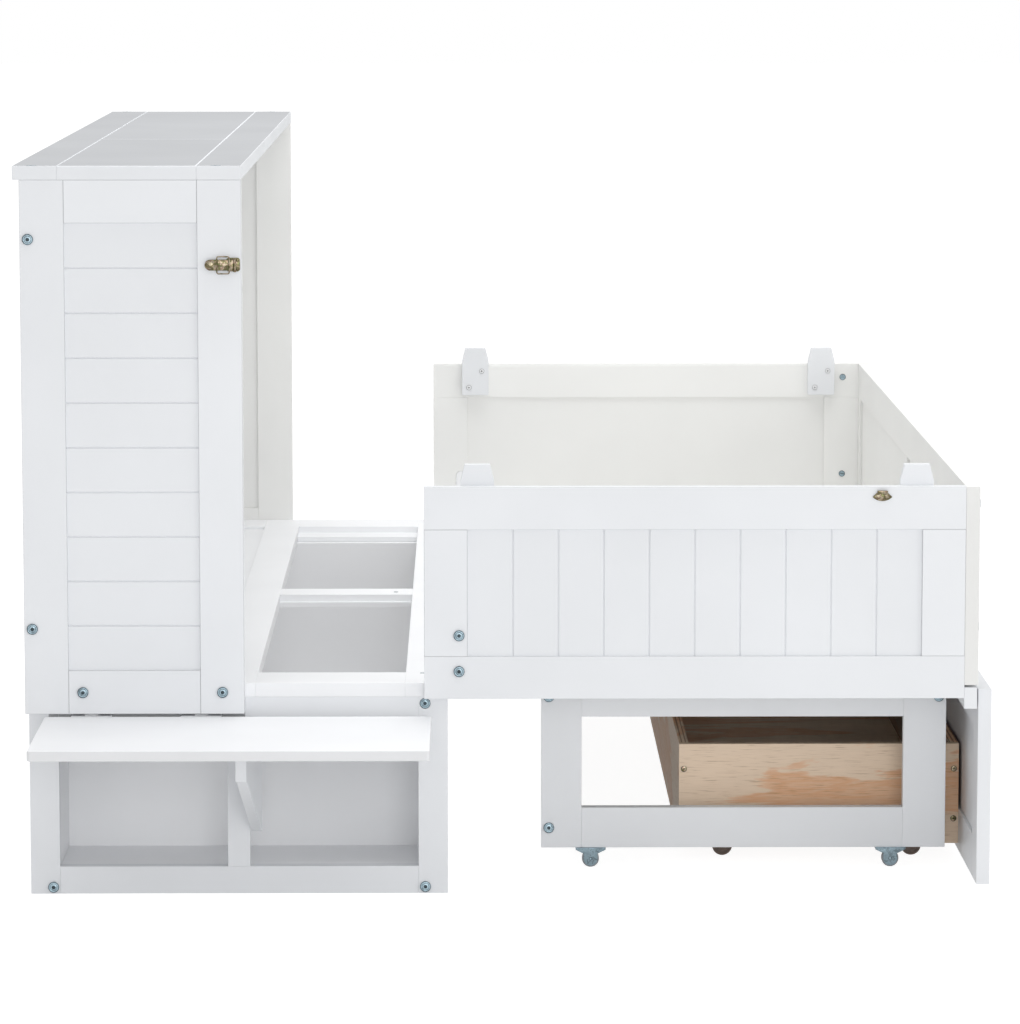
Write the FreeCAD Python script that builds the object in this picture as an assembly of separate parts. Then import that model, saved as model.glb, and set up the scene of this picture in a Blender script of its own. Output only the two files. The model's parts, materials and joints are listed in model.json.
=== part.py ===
"""A wall bed that folds up into a chest, modelled opened out.

A low base carries a shallow cabinet at the back. A tray, hinged to the front of the base, is the
foot half of the bed, and swings up to become the chest's front, top and side ends. A frame on
casters holds the tray up and rolls into the base, and a drawer on wheels stands inside the frame.
Each end of the base has an open shelf, a flap above it and a swing bracket that holds the flap.

X runs from the cabinet's back to the drawer's front, Y along the chest from the near end to the
far end, and Z up from the floor. The origin is the middle of the footprint, on the floor.
Pieces of the near end are modelled once and mirrored to the far end. Lengths are in millimetres.
"""
import FreeCAD, Part
import math
import os

V = FreeCAD.Vector

# Whole bed
bed_width = 1965.0            # between the outer faces of the two cabinet sides
board = 20.0                  # side panels, frames and drawer front
lying_board = 20.5            # cabinet top, platform, tray floor and footboard
infill = 11.0                 # panels held inside frames
wall = 15.0                   # shelf boxes, flaps and drawer walls
slide_play = 0.5              # between flat faces that slide past each other
turn_play = 0.3               # between a turning piece and what it turns on
overrun = 1.0                 # how far a cut runs past the face it starts from
socket_sides = 6              # of sockets, shanks and their holes
small_sides = 8               # of small round pins, knuckles and screw heads
head_sides = 12               # of bolt heads
wheel_sides = 32              # of wheels, lugs and strap ends

# V-grooves between planks, and the bevel round a flush panel
groove_width = 3.0
groove_depth = 2.0
panel_bevel = 1.2

# Base
base_back = 3.5               # from the back edge of the cabinet sides
base_depth = 620.0
base_height = 296.0
base_stile = 43.5
base_bottom_rail = 41.0
base_top_rail = 40.5
mid_stile = 33.0
mid_stile_start = 293.0       # from the back edge of the base
shelf_wall_inset = 23.5
shelf_depth = 144.0
shelf_floor_drop = 1.0
back_rail_height = 28.0

# Platform on the base
platform_back_stile = 62.0
platform_mid_stile = 63.0
platform_front_stile = 63.0
platform_mid_start = 272.0    # from the back edge of the base
platform_end_rail = 102.0
platform_mid_rail = 70.0
ledge_width = 9.0
ledge_thickness = 9.0

# Cabinet
cabinet_depth = 323.5
cabinet_lap = 22.0            # how far the sides reach down over the base
cabinet_height = 788.0
cabinet_stile = 64.5
cabinet_top_rail = 63.0
cabinet_bottom_rail = 65.0
plank_count = 10
top_back_overhang = 9.7
top_stile = 65.0
top_joint_share = 0.43        # where the two top panels meet, along the bed
back_panel_inset = 2.0
back_rail = 90.0

# Tray
hinge_reach = 8.0             # hinge axis in front of the base
hinge_swing_gap = 1.2         # between the closed tray floor and the platform
tray_tail = 42.5              # side panel behind the hinge axis
tray_rail = 63.0
tray_stile = 64.0
tray_floor_rail = 70.0
footboard_mullion = 64.0
pull_height = 32.0
pull_depth = 19.0
pull_rise = 16.0              # pull rail's top above the tray's underside

# Alignment tabs on the tray sides
tab_width = 49.5
tab_height = 88.0
tab_thickness = 17.0
tab_proud = 31.0
tab_taper = 6.0
tab_shoulder = 24.0
tab_relief = 1.0
front_tab_from_end = 71.0
tab_screw_side = 12.0
tab_screw_rise = 14.0
tab_screw_fall = 12.0

# Support frame
frame_stile = 61.5
frame_front_stile = 65.0
frame_rail = 62.0
frame_clear_height = 31.0     # underside above the floor, which the casters fill
frame_side_gap = 10.0         # to the backs of the shelf boxes
frame_end_gap = 3.0           # shorter than the base is deep
frame_from_footboard = 5.0
cross_rail_inset = 1.5

# Casters
caster_length = 46.0
caster_width = 28.0
caster_plate = 2.0
caster_cheek = 1.6
caster_wheel_radius = 13.0
caster_wheel_width = 12.0
caster_axle_radius = 2.5
caster_back = 75.5            # from the frame's back end
caster_front = 83.0           # from the frame's front end
cheek_gap = 0.8

# Drawer
drawer_front_gap = 2.6        # from the pull rail's front to the drawer front
drawer_front_bottom = 12.0
drawer_front_rise = 10.0      # drawer front's top above the tray's underside
drawer_front_stile = 64.0
drawer_box_length = 431.5
drawer_side_gap = 56.0        # from the support frame's inner face
drawer_box_bottom = 22.0
drawer_box_top = 178.0
drawer_floor_height = 36.0
drawer_floor = 6.0
drawer_wheel_radius = 15.5
drawer_wheel_width = 12.0
drawer_axle_radius = 3.0
drawer_back_wheel = 68.0      # from the box's back
drawer_front_wheel = 71.0     # from the box's front
wheel_bracket = 2.0
wheel_bracket_size = 34.0
wheel_cap = 1.5
wheel_cap_radius = 5.0

# Flaps and their hinges
flap_back = 28.5              # from the cabinet's back edge
flap_length = 571.0
flap_depth = 294.0
flap_thickness = 15.0
flap_corner = 12.0
flap_edge_gap = 2.0           # behind the near face of the cabinet side
flap_drop = 25.6              # flap top below the top of the base
leaf = 1.5
leaf_length = 59.0
leaf_reach = 28.0
leaf_drop = 14.0
knuckle_radius = 2.0
knuckle_share = 0.34
hinge_pin_radius = 0.8
flap_leaf_starts_share = (0.068, 0.352)

# Swing brackets
bracket_thickness = 16.0
bracket_reach = 197.5
bracket_root_height = 160.5
bracket_nose_height = 50.5
bracket_nose_flat = 9.0
bracket_yaw = 4.0             # degrees that the bracket stands turned at rest
bracket_face_gap = 2.5
bracket_knuckle_radius = 1.6
bracket_pivot_side = 1.6
bracket_leaf = 0.9
bracket_leaf_height = 40.0
bracket_leaf_width = 16.0
bracket_leaf_shares = (0.2, 0.8)

# Tray hinges
lug_radius = 9.0
lug_thickness = 3.0
lug_flange_height = 16.0
lug_flange_width = 40.0
lug_side_gap = 0.8
strap_half_width = 9.0
strap_height = 93.0
strap_bolt_side = 9.0
strap_bolt_rises_share = (0.33, 0.905)
pivot_radius = 3.0

# Connector bolts, screws and barrel nuts
bolt_head_radius = 8.0
bolt_head = 2.6
bolt_socket = 3.4             # corner radius of the hexagon socket
bolt_socket_depth = 1.6
bolt_shank_radius = 3.0
bolt_shank = 50.0
hole_play = 0.3
screw_head_radius = 3.6
screw_head = 1.2
screw_shank_radius = 1.8
screw_shank = 30.0
tab_screw_shank = 28.0
nut_radius = 5.0
nut_proud = 0.8
footboard_bolt_heights_share = (0.34, 0.92)
back_bolts_share = (0.11, 0.839)
foot_bolts_share = (0.264, 0.901)
top_bolts_share = (0.055, 0.886)

# Latches
latch_drop = 124.0            # below the top of the cabinet side
latch_plate_length = 20.0
latch_plate_height = 26.0
latch_edge_gap = 2.0
latch_sheet = 1.6
lever_length = 44.0
lever_height = 16.0
lever_stand_off = 4.4
lever_pin_back = 7.5
lever_pin_radius = 1.2
lever_barrel_radius = 2.2
ear_thickness = 1.6
bail_wire_radius = 0.9
bail_length = 21.0
bail_height = 25.0
bail_pivot_back = 8.0         # behind the lever's pin
wire_sides = 8
bail_lift = 2.6
catch_length = 29.0
catch_height = 12.0
catch_thickness = 1.6
catch_tongue_length = 14.0
catch_tongue_height = 5.0
catch_tongue_proud = 4.0
rivet_radius = 1.8
rivet_head = 0.8

# Levels and places that follow from the sizes above
half_width = bed_width / 2
platform_top = base_height + lying_board
base_front = base_back + base_depth
cabinet_bottom = base_height - cabinet_lap
cabinet_top = cabinet_bottom + cabinet_height
hinge_x = base_front + hinge_reach
hinge_z = base_height + lying_board / 2
tray_bottom = base_height
tray_floor_back = hinge_x + platform_top - hinge_z + hinge_swing_gap
tray_end = hinge_x + cabinet_top - hinge_z
tray_back = hinge_x - tray_tail
drawer_front_top = tray_bottom + drawer_front_rise
tray_swing = hinge_x - cabinet_depth - slide_play
tray_top = hinge_z + math.sqrt(tray_swing ** 2 - tray_tail ** 2)
footboard_front = tray_end + lying_board
pull_front = tray_end + pull_depth
drawer_back_of_front = footboard_front + drawer_front_gap
drawer_front_face = drawer_back_of_front + board
near_face = -half_width
base_face = near_face + board
tray_face = near_face - slide_play
tray_inner_face = tray_face + board
shelf_back = base_face + board + shelf_depth
frame_face = shelf_back + wall + frame_side_gap
frame_front = tray_end - frame_from_footboard
frame_back = frame_front - base_depth + frame_end_gap
frame_top = tray_bottom - slide_play
drawer_side = frame_face + board + drawer_side_gap
drawer_box_back = drawer_back_of_front - drawer_box_length
flap_top = base_height - flap_drop
flap_bottom = flap_top - flap_thickness
flap_inner_edge = near_face - flap_edge_gap
flap_axis_y = flap_inner_edge - knuckle_radius
flap_axis_z = flap_top + knuckle_radius
shelf_open_bottom = base_bottom_rail
shelf_open_top = base_height - base_top_rail
mid_stile_back = base_back + mid_stile_start
mid_stile_front = mid_stile_back + mid_stile
bracket_axis_x = mid_stile_front + bracket_pivot_side
bracket_axis_y = base_face - overrun
bracket_top = flap_bottom - turn_play
bracket_bottom = bracket_top - bracket_root_height
latch_z = cabinet_top - latch_drop
latch_pin_x = cabinet_depth - latch_edge_gap - lever_pin_back
bail_pivot_x = latch_pin_x - bail_pivot_back
middle_x = (drawer_front_face - top_back_overhang) / 2

nodes = {}


def at(plane, across, up, through):
    """A point given by its places along the three axes that plane names in order."""
    place = dict(zip(plane, (across, up, through)))
    return V(place["x"], place["y"], place["z"])


def slab(plane, across, up, through):
    """A rectangular block from its low and high places along the three axes of plane."""
    low = at(plane, across[0], up[0], through[0])
    size = at(plane, across[1], up[1], through[1]) - low
    return Part.makeBox(size.x, size.y, size.z, low)


def prism(plane, outline, start, end):
    """An outline in the first two axes of plane, drawn out along the third."""
    points = [at(plane, a, b, start) for a, b in outline]
    face = Part.Face(Part.makePolygon(points + points[:1]))
    return face.extrude(at(plane, 0, 0, end - start))


def centred(span, thickness):
    """A span of the given thickness in the middle of a wider one."""
    middle = (span[0] + span[1]) / 2
    return (middle - thickness / 2, middle + thickness / 2)


def bays_between(span, bar, bars):
    """The equal gaps that bars of one width leave in a span."""
    gap = (span[1] - span[0] - bar * bars) / (bars + 1)
    starts = [span[0] + step * (gap + bar) for step in range(bars + 1)]
    return [(start, start + gap) for start in starts]


def frame_inside(across, up, stiles, rails):
    """The clear width and height inside a frame."""
    return (across[0] + stiles[0], across[1] - stiles[1]), (up[0] + rails[0], up[1] - rails[1])


def frame_members(plane, across, up, through, stiles, rails, mullion=0, mullions=0):
    """Two stiles over the full height, two rails between them, and any mullions."""
    clear, open_up = frame_inside(across, up, stiles, rails)
    bays = bays_between(clear, mullion, mullions)
    members = [slab(plane, (across[0], clear[0]), up, through),
               slab(plane, (clear[1], across[1]), up, through),
               slab(plane, clear, (up[0], open_up[0]), through),
               slab(plane, clear, (open_up[1], up[1]), through)]
    for left, right in zip(bays, bays[1:]):
        members.append(slab(plane, (left[1], right[0]), open_up, through))
    return members


def frame_panels(plane, across, up, through, stiles, rails, mullion=0, mullions=0):
    """The flat panels that fill such a frame, set back from both of its faces."""
    clear, open_up = frame_inside(across, up, stiles, rails)
    bays = bays_between(clear, mullion, mullions)
    return [slab(plane, bay, open_up, centred(through, infill)) for bay in bays]


def plank_panel(plane, across, up, through, count):
    """A panel of equal planks along the first axis, with V-grooves in its outer, low face."""
    face, back = centred(through, infill)
    pitch = (up[1] - up[0]) / count
    outline = [(up[0], face)]
    for joint in range(1, count):
        place = up[0] + joint * pitch
        outline += [(place - groove_width / 2, face), (place, face + groove_depth),
                    (place + groove_width / 2, face)]
    outline += [(up[1], face), (up[1], back), (up[0], back)]
    points = [at(plane, across[0], place, depth) for place, depth in outline]
    section = Part.Face(Part.makePolygon(points + points[:1]))
    return section.extrude(at(plane, across[1] - across[0], 0, 0))


def sided_rod(start, direction, radius, length, sides=small_sides):
    """A round bar drawn as a many-sided one, along X, Y or Z."""
    across = V(direction.y, direction.z, direction.x)
    up = direction.cross(across)
    corners = []
    for corner in range(sides):
        turn = 2 * math.pi * corner / sides
        corners.append(start + across * (radius * math.cos(turn)) + up * (radius * math.sin(turn)))
    return Part.Face(Part.makePolygon(corners + corners[:1])).extrude(direction * length)


def wheel(start, direction, radius, axle_radius, width):
    """A plain wheel with a bore that leaves play round its axle."""
    bore = sided_rod(start, direction, axle_radius + turn_play, width)
    return sided_rod(start, direction, radius, width, wheel_sides).cut(bore)


def sleeve(start, direction, radius, pin_radius, length):
    """A small sleeve that turns on a pin."""
    bore = sided_rod(start, direction, pin_radius + turn_play, length)
    return sided_rod(start, direction, radius, length).cut(bore)


def bolt(seat, inward, shank=bolt_shank):
    """A connector bolt: a low round head on the seat, a hexagon socket and a plain shank."""
    top = seat - inward * bolt_head
    head = sided_rod(top, inward, bolt_head_radius, bolt_head, head_sides)
    socket = sided_rod(top, inward, bolt_socket, bolt_socket_depth, socket_sides)
    return head.cut(socket).fuse(sided_rod(seat, inward, bolt_shank_radius, shank, socket_sides))


def bolt_hole(seat, inward, shank=bolt_shank):
    """The hole that such a bolt's shank passes through."""
    return sided_rod(seat - inward * overrun, inward, bolt_shank_radius + hole_play,
                     shank + 2 * overrun, socket_sides)


def head_recess(seat, inward):
    """The recess round the head of a bolt that is sunk below the face."""
    return sided_rod(seat, -inward, bolt_head_radius + hole_play, bolt_head + overrun, head_sides)


def screw(seat, inward, shank=screw_shank):
    """A small screw: a flat head on the seat and a plain shank."""
    head = sided_rod(seat - inward * screw_head, inward, screw_head_radius, screw_head)
    return head.fuse(sided_rod(seat, inward, screw_shank_radius, shank, socket_sides))


def screw_hole(seat, inward, shank=screw_shank):
    """The hole that such a screw stands in."""
    return sided_rod(seat - inward * overrun, inward, screw_shank_radius + hole_play,
                     shank + 2 * overrun, socket_sides)


def turned(shape, centre, axis, degrees):
    """A copy turned about an axis through a point."""
    copy = shape.copy()
    copy.rotate(centre, axis, degrees)
    return copy


def far(shapes):
    """The same pieces at the far end of the bed."""
    return [shape.mirror(V(0, 0, 0), V(0, 1, 0)) for shape in shapes]


def both(shapes):
    """The pieces of the near end and of the far end."""
    return shapes + far(shapes)


def add_ends(name, near_shapes):
    """One node for the near end and one for the far end."""
    nodes[name + "_near"] = near_shapes
    nodes[name + "_far"] = far(near_shapes)


def drill(names, tools):
    """Cut holes in every solid of the named nodes that the tools reach."""
    for name in names:
        drilled = []
        for solid in nodes[name]:
            for tool in tools:
                if solid.BoundBox.intersect(tool.BoundBox):
                    solid = solid.cut(tool)
            drilled.append(solid)
        nodes[name] = drilled


def make_base():
    """End frames with a mid stile, the shelf boxes behind them and the low back rail."""
    depth = (base_back, base_front)
    face = (base_face, base_face + board)
    height = (0, base_height)
    stiles = (base_stile, base_stile)
    rails = (base_bottom_rail, base_top_rail)
    members = frame_members("xzy", depth, height, face, stiles, rails)
    members.append(slab("xzy", (mid_stile_back, mid_stile_front),
                        (shelf_open_bottom, shelf_open_top), face))
    add_ends("base_end_frame", members)

    behind = (base_face + board, shelf_back)
    left = base_back + shelf_wall_inset
    right = base_front - shelf_wall_inset
    floor_top = base_bottom_rail - shelf_floor_drop
    box = [slab("xzy", (left, left + board), height, behind),
           slab("xzy", (right - board, right), height, behind),
           slab("xzy", (left, right), height, (shelf_back, shelf_back + wall)),
           slab("xzy", (left + board, right - board), (floor_top - wall, floor_top), behind)]
    nodes["shelf_boxes"] = both(box)
    between = (base_face + board, -base_face - board)
    nodes["base_back_rail"] = [slab("yzx", between, (0, back_rail_height),
                                    (base_back, base_back + board))]


def ledged(across, along, open_sides):
    """A platform member with a low ledge under the rim of each opening beside it."""
    height = (base_height, platform_top)
    low = (base_height, base_height + ledge_thickness)
    body = slab("xyz", across, along, height)
    for side in open_sides:
        if side == "front":
            ledge = slab("xyz", (across[1], across[1] + ledge_width), along, low)
        if side == "back":
            ledge = slab("xyz", (across[0] - ledge_width, across[0]), along, low)
        if side == "far":
            ledge = slab("xyz", across, (along[1], along[1] + ledge_width), low)
        if side == "near":
            ledge = slab("xyz", across, (along[0] - ledge_width, along[0]), low)
        body = body.fuse(ledge)
    return body.removeSplitter()


def make_platform():
    """Long stiles, end and middle rails round two ledged openings, and a sunk panel."""
    length = (base_face, -base_face)
    back_stile = (base_back, base_back + platform_back_stile)
    mid = (base_back + platform_mid_start, base_back + platform_mid_start + platform_mid_stile)
    front = (base_front - platform_front_stile, base_front)
    end_rail = (base_face, base_face + platform_end_rail)
    middle_rail = (-platform_mid_rail / 2, platform_mid_rail / 2)
    opening = (mid[1], front[0])
    height = (base_height, platform_top)
    nodes["platform_frame"] = [
        slab("xyz", back_stile, length, height),
        slab("xyz", mid, length, height),
        slab("xyz", front, length, height),
        slab("xyz", (back_stile[1], mid[0]), end_rail, height),
        slab("xyz", (back_stile[1], mid[0]), (-end_rail[1], -end_rail[0]), height),
        ledged(opening, end_rail, ["far"]),
        ledged(opening, (-end_rail[1], -end_rail[0]), ["near"]),
        ledged(opening, middle_rail, ["near", "far"])]
    sunk = (back_stile[1], mid[0])
    nodes["platform_panel"] = [slab("xyz", sunk, (end_rail[1], -end_rail[1]),
                                    centred(height, infill))]


def cabinet_side_spans():
    """Where the near side of the cabinet lies."""
    return (0, cabinet_depth), (cabinet_bottom, cabinet_top), (near_face, near_face + board)


def make_cabinet():
    """Framed plank sides, a framed back and a flush top."""
    depth, height, face = cabinet_side_spans()
    stiles = (cabinet_stile, cabinet_stile)
    rails = (cabinet_bottom_rail, cabinet_top_rail)
    add_ends("cabinet_side_frame", frame_members("xzy", depth, height, face, stiles, rails))
    clear, open_up = frame_inside(depth, height, stiles, rails)
    planks = plank_panel("xzy", clear, open_up, face, plank_count)
    nodes["cabinet_side_planks"] = both([planks])

    inner = near_face + board
    nodes["cabinet_back"] = (
        frame_members("yzx", (inner, -inner), (platform_top, cabinet_top), back_span(),
                      (cabinet_stile, cabinet_stile), (back_rail, back_rail), cabinet_stile, 2)
        + frame_panels("yzx", (inner, -inner), (platform_top, cabinet_top), back_span(),
                       (cabinet_stile, cabinet_stile), (back_rail, back_rail), cabinet_stile, 2))

    top = (cabinet_top, cabinet_top + lying_board)
    width = (near_face, -near_face)
    span = (-top_back_overhang, cabinet_depth)
    nodes["cabinet_top_stiles"] = [slab("xyz", (span[0], span[0] + top_stile), width, top),
                                   slab("xyz", (span[1] - top_stile, span[1]), width, top)]
    inside = (span[0] + top_stile, span[1] - top_stile)
    joint = near_face + bed_width * top_joint_share
    nodes["cabinet_top_panels"] = [bevelled(slab("xyz", inside, (near_face, joint), top)),
                                   bevelled(slab("xyz", inside, (joint, -near_face), top))]


def back_span():
    """The back's place from its rear face to its front face."""
    return (back_panel_inset, back_panel_inset + board)


def bevelled(block):
    """A lying block with a small bevel round its upper face."""
    top = block.BoundBox.ZMax
    rim = [edge for edge in block.Edges if edge.BoundBox.ZMin > top - panel_bevel]
    return block.makeChamfer(panel_bevel, rim)


def strap_outline_pieces(play):
    """The hinge strap let into the tray side, or its recess when play is added."""
    half = strap_half_width + play
    depth = lug_thickness + play
    start = tray_inner_face - depth
    side = V(0, 1, 0)
    foot = sided_rod(V(hinge_x, start, hinge_z), side, half, depth, wheel_sides)
    bar_x = hinge_x + strap_bolt_side
    bar = slab("xzy", (bar_x - half, bar_x + half), (hinge_z, hinge_z + strap_height),
               (start, tray_inner_face))
    head = sided_rod(V(bar_x, start, hinge_z + strap_height), side, half, depth, wheel_sides)
    return foot.fuse([bar, head]).removeSplitter()


def strap_bolt_seats():
    """Where the strap's two bolts sit on the tray side's outer face."""
    bar_x = hinge_x + strap_bolt_side
    return [V(bar_x, tray_face, hinge_z + strap_height * share) for share in strap_bolt_rises_share]


def make_tray():
    """Framed plank sides, a framed floor and footboard, and the pull rail under its end."""
    face = (tray_face, tray_inner_face)
    length = (tray_back, tray_end)
    height = (tray_bottom, tray_top)
    stiles = (tray_rail, tray_rail)
    rails = (tray_stile, tray_stile)
    members = frame_members("zxy", height, length, face, stiles, rails)
    clear, open_up = frame_inside(height, length, stiles, rails)
    planks = plank_panel("zxy", clear, open_up, face, plank_count)
    recess = strap_outline_pieces(turn_play)
    add_ends("tray_side_frame", [member.cut(recess) for member in members])
    nodes["tray_side_planks"] = both([planks])

    inner = (tray_inner_face, -tray_inner_face)
    floor = (tray_floor_back, tray_end)
    level = (tray_bottom, tray_bottom + lying_board)
    edges = (tray_floor_rail, tray_floor_rail)
    nodes["tray_floor_frame"] = frame_members("yxz", inner, floor, level, edges, edges,
                                              footboard_mullion, 1)
    outer = (tray_face, -tray_face)
    board_height = (tray_bottom + lying_board - overrun, tray_top)
    thickness = (tray_end, footboard_front)
    borders = (tray_stile, tray_stile)
    nodes["footboard_frame"] = frame_members("yzx", outer, board_height, thickness, borders,
                                             borders, footboard_mullion, 1)
    nodes["tray_panels"] = (
        frame_panels("yxz", inner, floor, level, edges, edges, footboard_mullion, 1)
        + frame_panels("yzx", outer, board_height, thickness, borders, borders,
                       footboard_mullion, 1))
    pull_top = tray_bottom + pull_rise
    nodes["pull_rail"] = [slab("yzx", outer, (pull_top - pull_height, pull_top),
                               (tray_end, pull_front))]


def tab_centres():
    """The tabs' places along the tray side, clear of the platform when the tray is closed."""
    return (tray_floor_back + tab_width / 2, tray_end - front_tab_from_end)


def make_tabs():
    """Tapered tabs on the tray sides' inner faces, each with two screws."""
    tabs = []
    screws = []
    half = tab_width / 2
    top = tray_top + tab_proud
    bottom = top - tab_height
    back = tray_inner_face + tab_thickness
    for centre in tab_centres():
        outline = [(centre - half, bottom), (centre + half, bottom),
                   (centre + half, top - tab_shoulder), (centre + half - tab_taper, top),
                   (centre - half + tab_taper, top), (centre - half, top - tab_shoulder)]
        tab = prism("xzy", outline, tray_inner_face, back)
        relief = slab("xzy", (centre - tab_width, centre + tab_width), (tray_top, top + overrun),
                      (tray_inner_face - overrun, tray_inner_face + tab_relief))
        tabs.append(tab.cut(relief))
        low = V(centre - tab_screw_side, back, bottom + tab_screw_rise)
        high = V(centre + tab_screw_side, back, tray_top - tab_screw_fall)
        screws += [low, high]
    nodes["alignment_tabs"] = both(tabs)
    out = V(0, -1, 0)
    nodes["tab_screws"] = both([screw(seat, out, tab_screw_shank) for seat in screws])
    drill(["alignment_tabs", "tray_side_frame_near", "tray_side_frame_far"],
          both([screw_hole(seat, out, tab_screw_shank) for seat in screws]))


def make_tray_hinges():
    """A lug on the platform's front edge and a strap in the tray side, on one pin."""
    side = V(0, 1, 0)
    lug_start = tray_inner_face + lug_side_gap
    height = (hinge_z - lug_flange_height / 2, hinge_z + lug_flange_height / 2)
    lug = sided_rod(V(hinge_x, lug_start, hinge_z), side, lug_radius, lug_thickness, wheel_sides)
    web = slab("xzy", (base_front, hinge_x), height, (lug_start, lug_start + lug_thickness))
    flange = slab("xzy", (base_front, base_front + lug_thickness), height,
                  (lug_start, lug_start + lug_flange_width))
    bore = sided_rod(V(hinge_x, lug_start - overrun, hinge_z), side, pivot_radius + turn_play,
                     lug_thickness + 2 * overrun)
    plate = lug.common(slab("xzy", (base_front, hinge_x + lug_radius),
                            (hinge_z - lug_radius, hinge_z + lug_radius),
                            (lug_start, lug_start + lug_thickness)))
    nodes["tray_hinge_lugs"] = both([plate.fuse([web, flange]).cut(bore).removeSplitter()])
    pin_start = tray_inner_face - lug_thickness
    pin_length = lug_side_gap + 2 * lug_thickness + overrun
    pin = sided_rod(V(hinge_x, pin_start, hinge_z), side, pivot_radius, pin_length)
    strap = strap_outline_pieces(0).fuse(pin).removeSplitter()
    nodes["tray_hinge_straps"] = both([strap])


def make_support_frame():
    """Two open side frames joined by three cross rails."""
    depth = (frame_back, frame_front)
    height = (frame_clear_height, frame_top)
    face = (frame_face, frame_face + board)
    stiles = (frame_stile, frame_front_stile)
    rails = (frame_rail, frame_rail)
    add_ends("support_side", frame_members("xzy", depth, height, face, stiles, rails))
    inner = (frame_face + board, -frame_face - board)
    low = (frame_clear_height, frame_clear_height + frame_rail)
    high = (frame_top - frame_rail, frame_top)
    back = (frame_back + cross_rail_inset, frame_back + cross_rail_inset + board)
    front = (frame_front - cross_rail_inset - board, frame_front - cross_rail_inset)
    nodes["support_cross_rails"] = [slab("yzx", inner, low, back), slab("yzx", inner, high, back),
                                    slab("yzx", inner, high, front)]
    side = V(0, 1, 0)
    seats = [V(sum(place) / 2, frame_face, sum(level) / 2)
             for place, level in ((back, low), (back, high), (front, high))]
    nodes["support_bolts"] = both([bolt(seat, side) for seat in seats])
    drill(["support_side_near", "support_side_far", "support_cross_rails"],
          both([bolt_hole(seat, side) for seat in seats]))


def caster_places():
    """The near casters' places along X."""
    return (frame_back + caster_back, frame_front - caster_front)


def make_casters():
    """Fixed casters under the support frame, each with its own wheel."""
    side = V(0, 1, 0)
    middle = frame_face + board / 2
    half = caster_length / 2
    inner = caster_wheel_width / 2 + cheek_gap
    plate_bottom = frame_clear_height - caster_plate
    axle_z = caster_wheel_radius
    brackets = []
    for number, x in enumerate(caster_places(), start=1):
        plate = slab("xyz", (x - half, x + half),
                     (middle - caster_width / 2, middle + caster_width / 2),
                     (plate_bottom, frame_clear_height))
        tip = 2 * caster_axle_radius
        outline = [(x - half / 2, plate_bottom), (x - tip, axle_z - tip), (x + tip, axle_z - tip),
                   (x + half / 2, plate_bottom)]
        cheeks = [prism("xzy", outline, middle - inner - caster_cheek, middle - inner),
                  prism("xzy", outline, middle + inner, middle + inner + caster_cheek)]
        reach = inner + caster_cheek + overrun
        axle = sided_rod(V(x, middle - reach, axle_z), side, caster_axle_radius, 2 * reach)
        brackets.append(plate.fuse(cheeks + [axle]).removeSplitter())
        start = V(x, middle - caster_wheel_width / 2, axle_z)
        roller = wheel(start, side, caster_wheel_radius, caster_axle_radius, caster_wheel_width)
        add_ends("caster_wheel_%d" % number, [roller])
    nodes["caster_brackets"] = both(brackets)


def drawer_wheel_places():
    """The near drawer wheels' places along X."""
    return (drawer_box_back + drawer_back_wheel, drawer_back_of_front - drawer_front_wheel)


def make_drawer():
    """A pine box with a framed front over the whole width."""
    length = (drawer_box_back, drawer_back_of_front)
    height = (drawer_box_bottom, drawer_box_top)
    face = (drawer_side, drawer_side + wall)
    nodes["drawer_sides"] = both([slab("xzy", length, height, face)])
    inner = (drawer_side + wall, -drawer_side - wall)
    back = (drawer_box_back, drawer_box_back + wall)
    front = (drawer_back_of_front - wall, drawer_back_of_front)
    nodes["drawer_ends"] = [slab("yzx", inner, height, back), slab("yzx", inner, height, front)]
    nodes["drawer_bottom"] = [slab("xyz", (back[1], front[0]), inner,
                                   (drawer_floor_height, drawer_floor_height + drawer_floor))]
    across = (base_face, -base_face)
    up = (drawer_front_bottom, drawer_front_top)
    thickness = (drawer_back_of_front, drawer_front_face)
    borders = (drawer_front_stile, drawer_front_stile)
    nodes["drawer_front_frame"] = frame_members("yzx", across, up, thickness, borders, borders,
                                                footboard_mullion, 1)
    nodes["drawer_front_panels"] = frame_panels("yzx", across, up, thickness, borders, borders,
                                                footboard_mullion, 1)
    side = V(0, 1, 0)
    screw_inset = (drawer_box_top - drawer_box_bottom) / 4
    seats = [V(sum(end) / 2, drawer_side, level) for end in (back, front)
             for level in (drawer_box_bottom + screw_inset, drawer_box_top - screw_inset)]
    nodes["drawer_screws"] = both([screw(seat, side) for seat in seats])
    drill(["drawer_sides", "drawer_ends"], both([screw_hole(seat, side) for seat in seats]))


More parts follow.
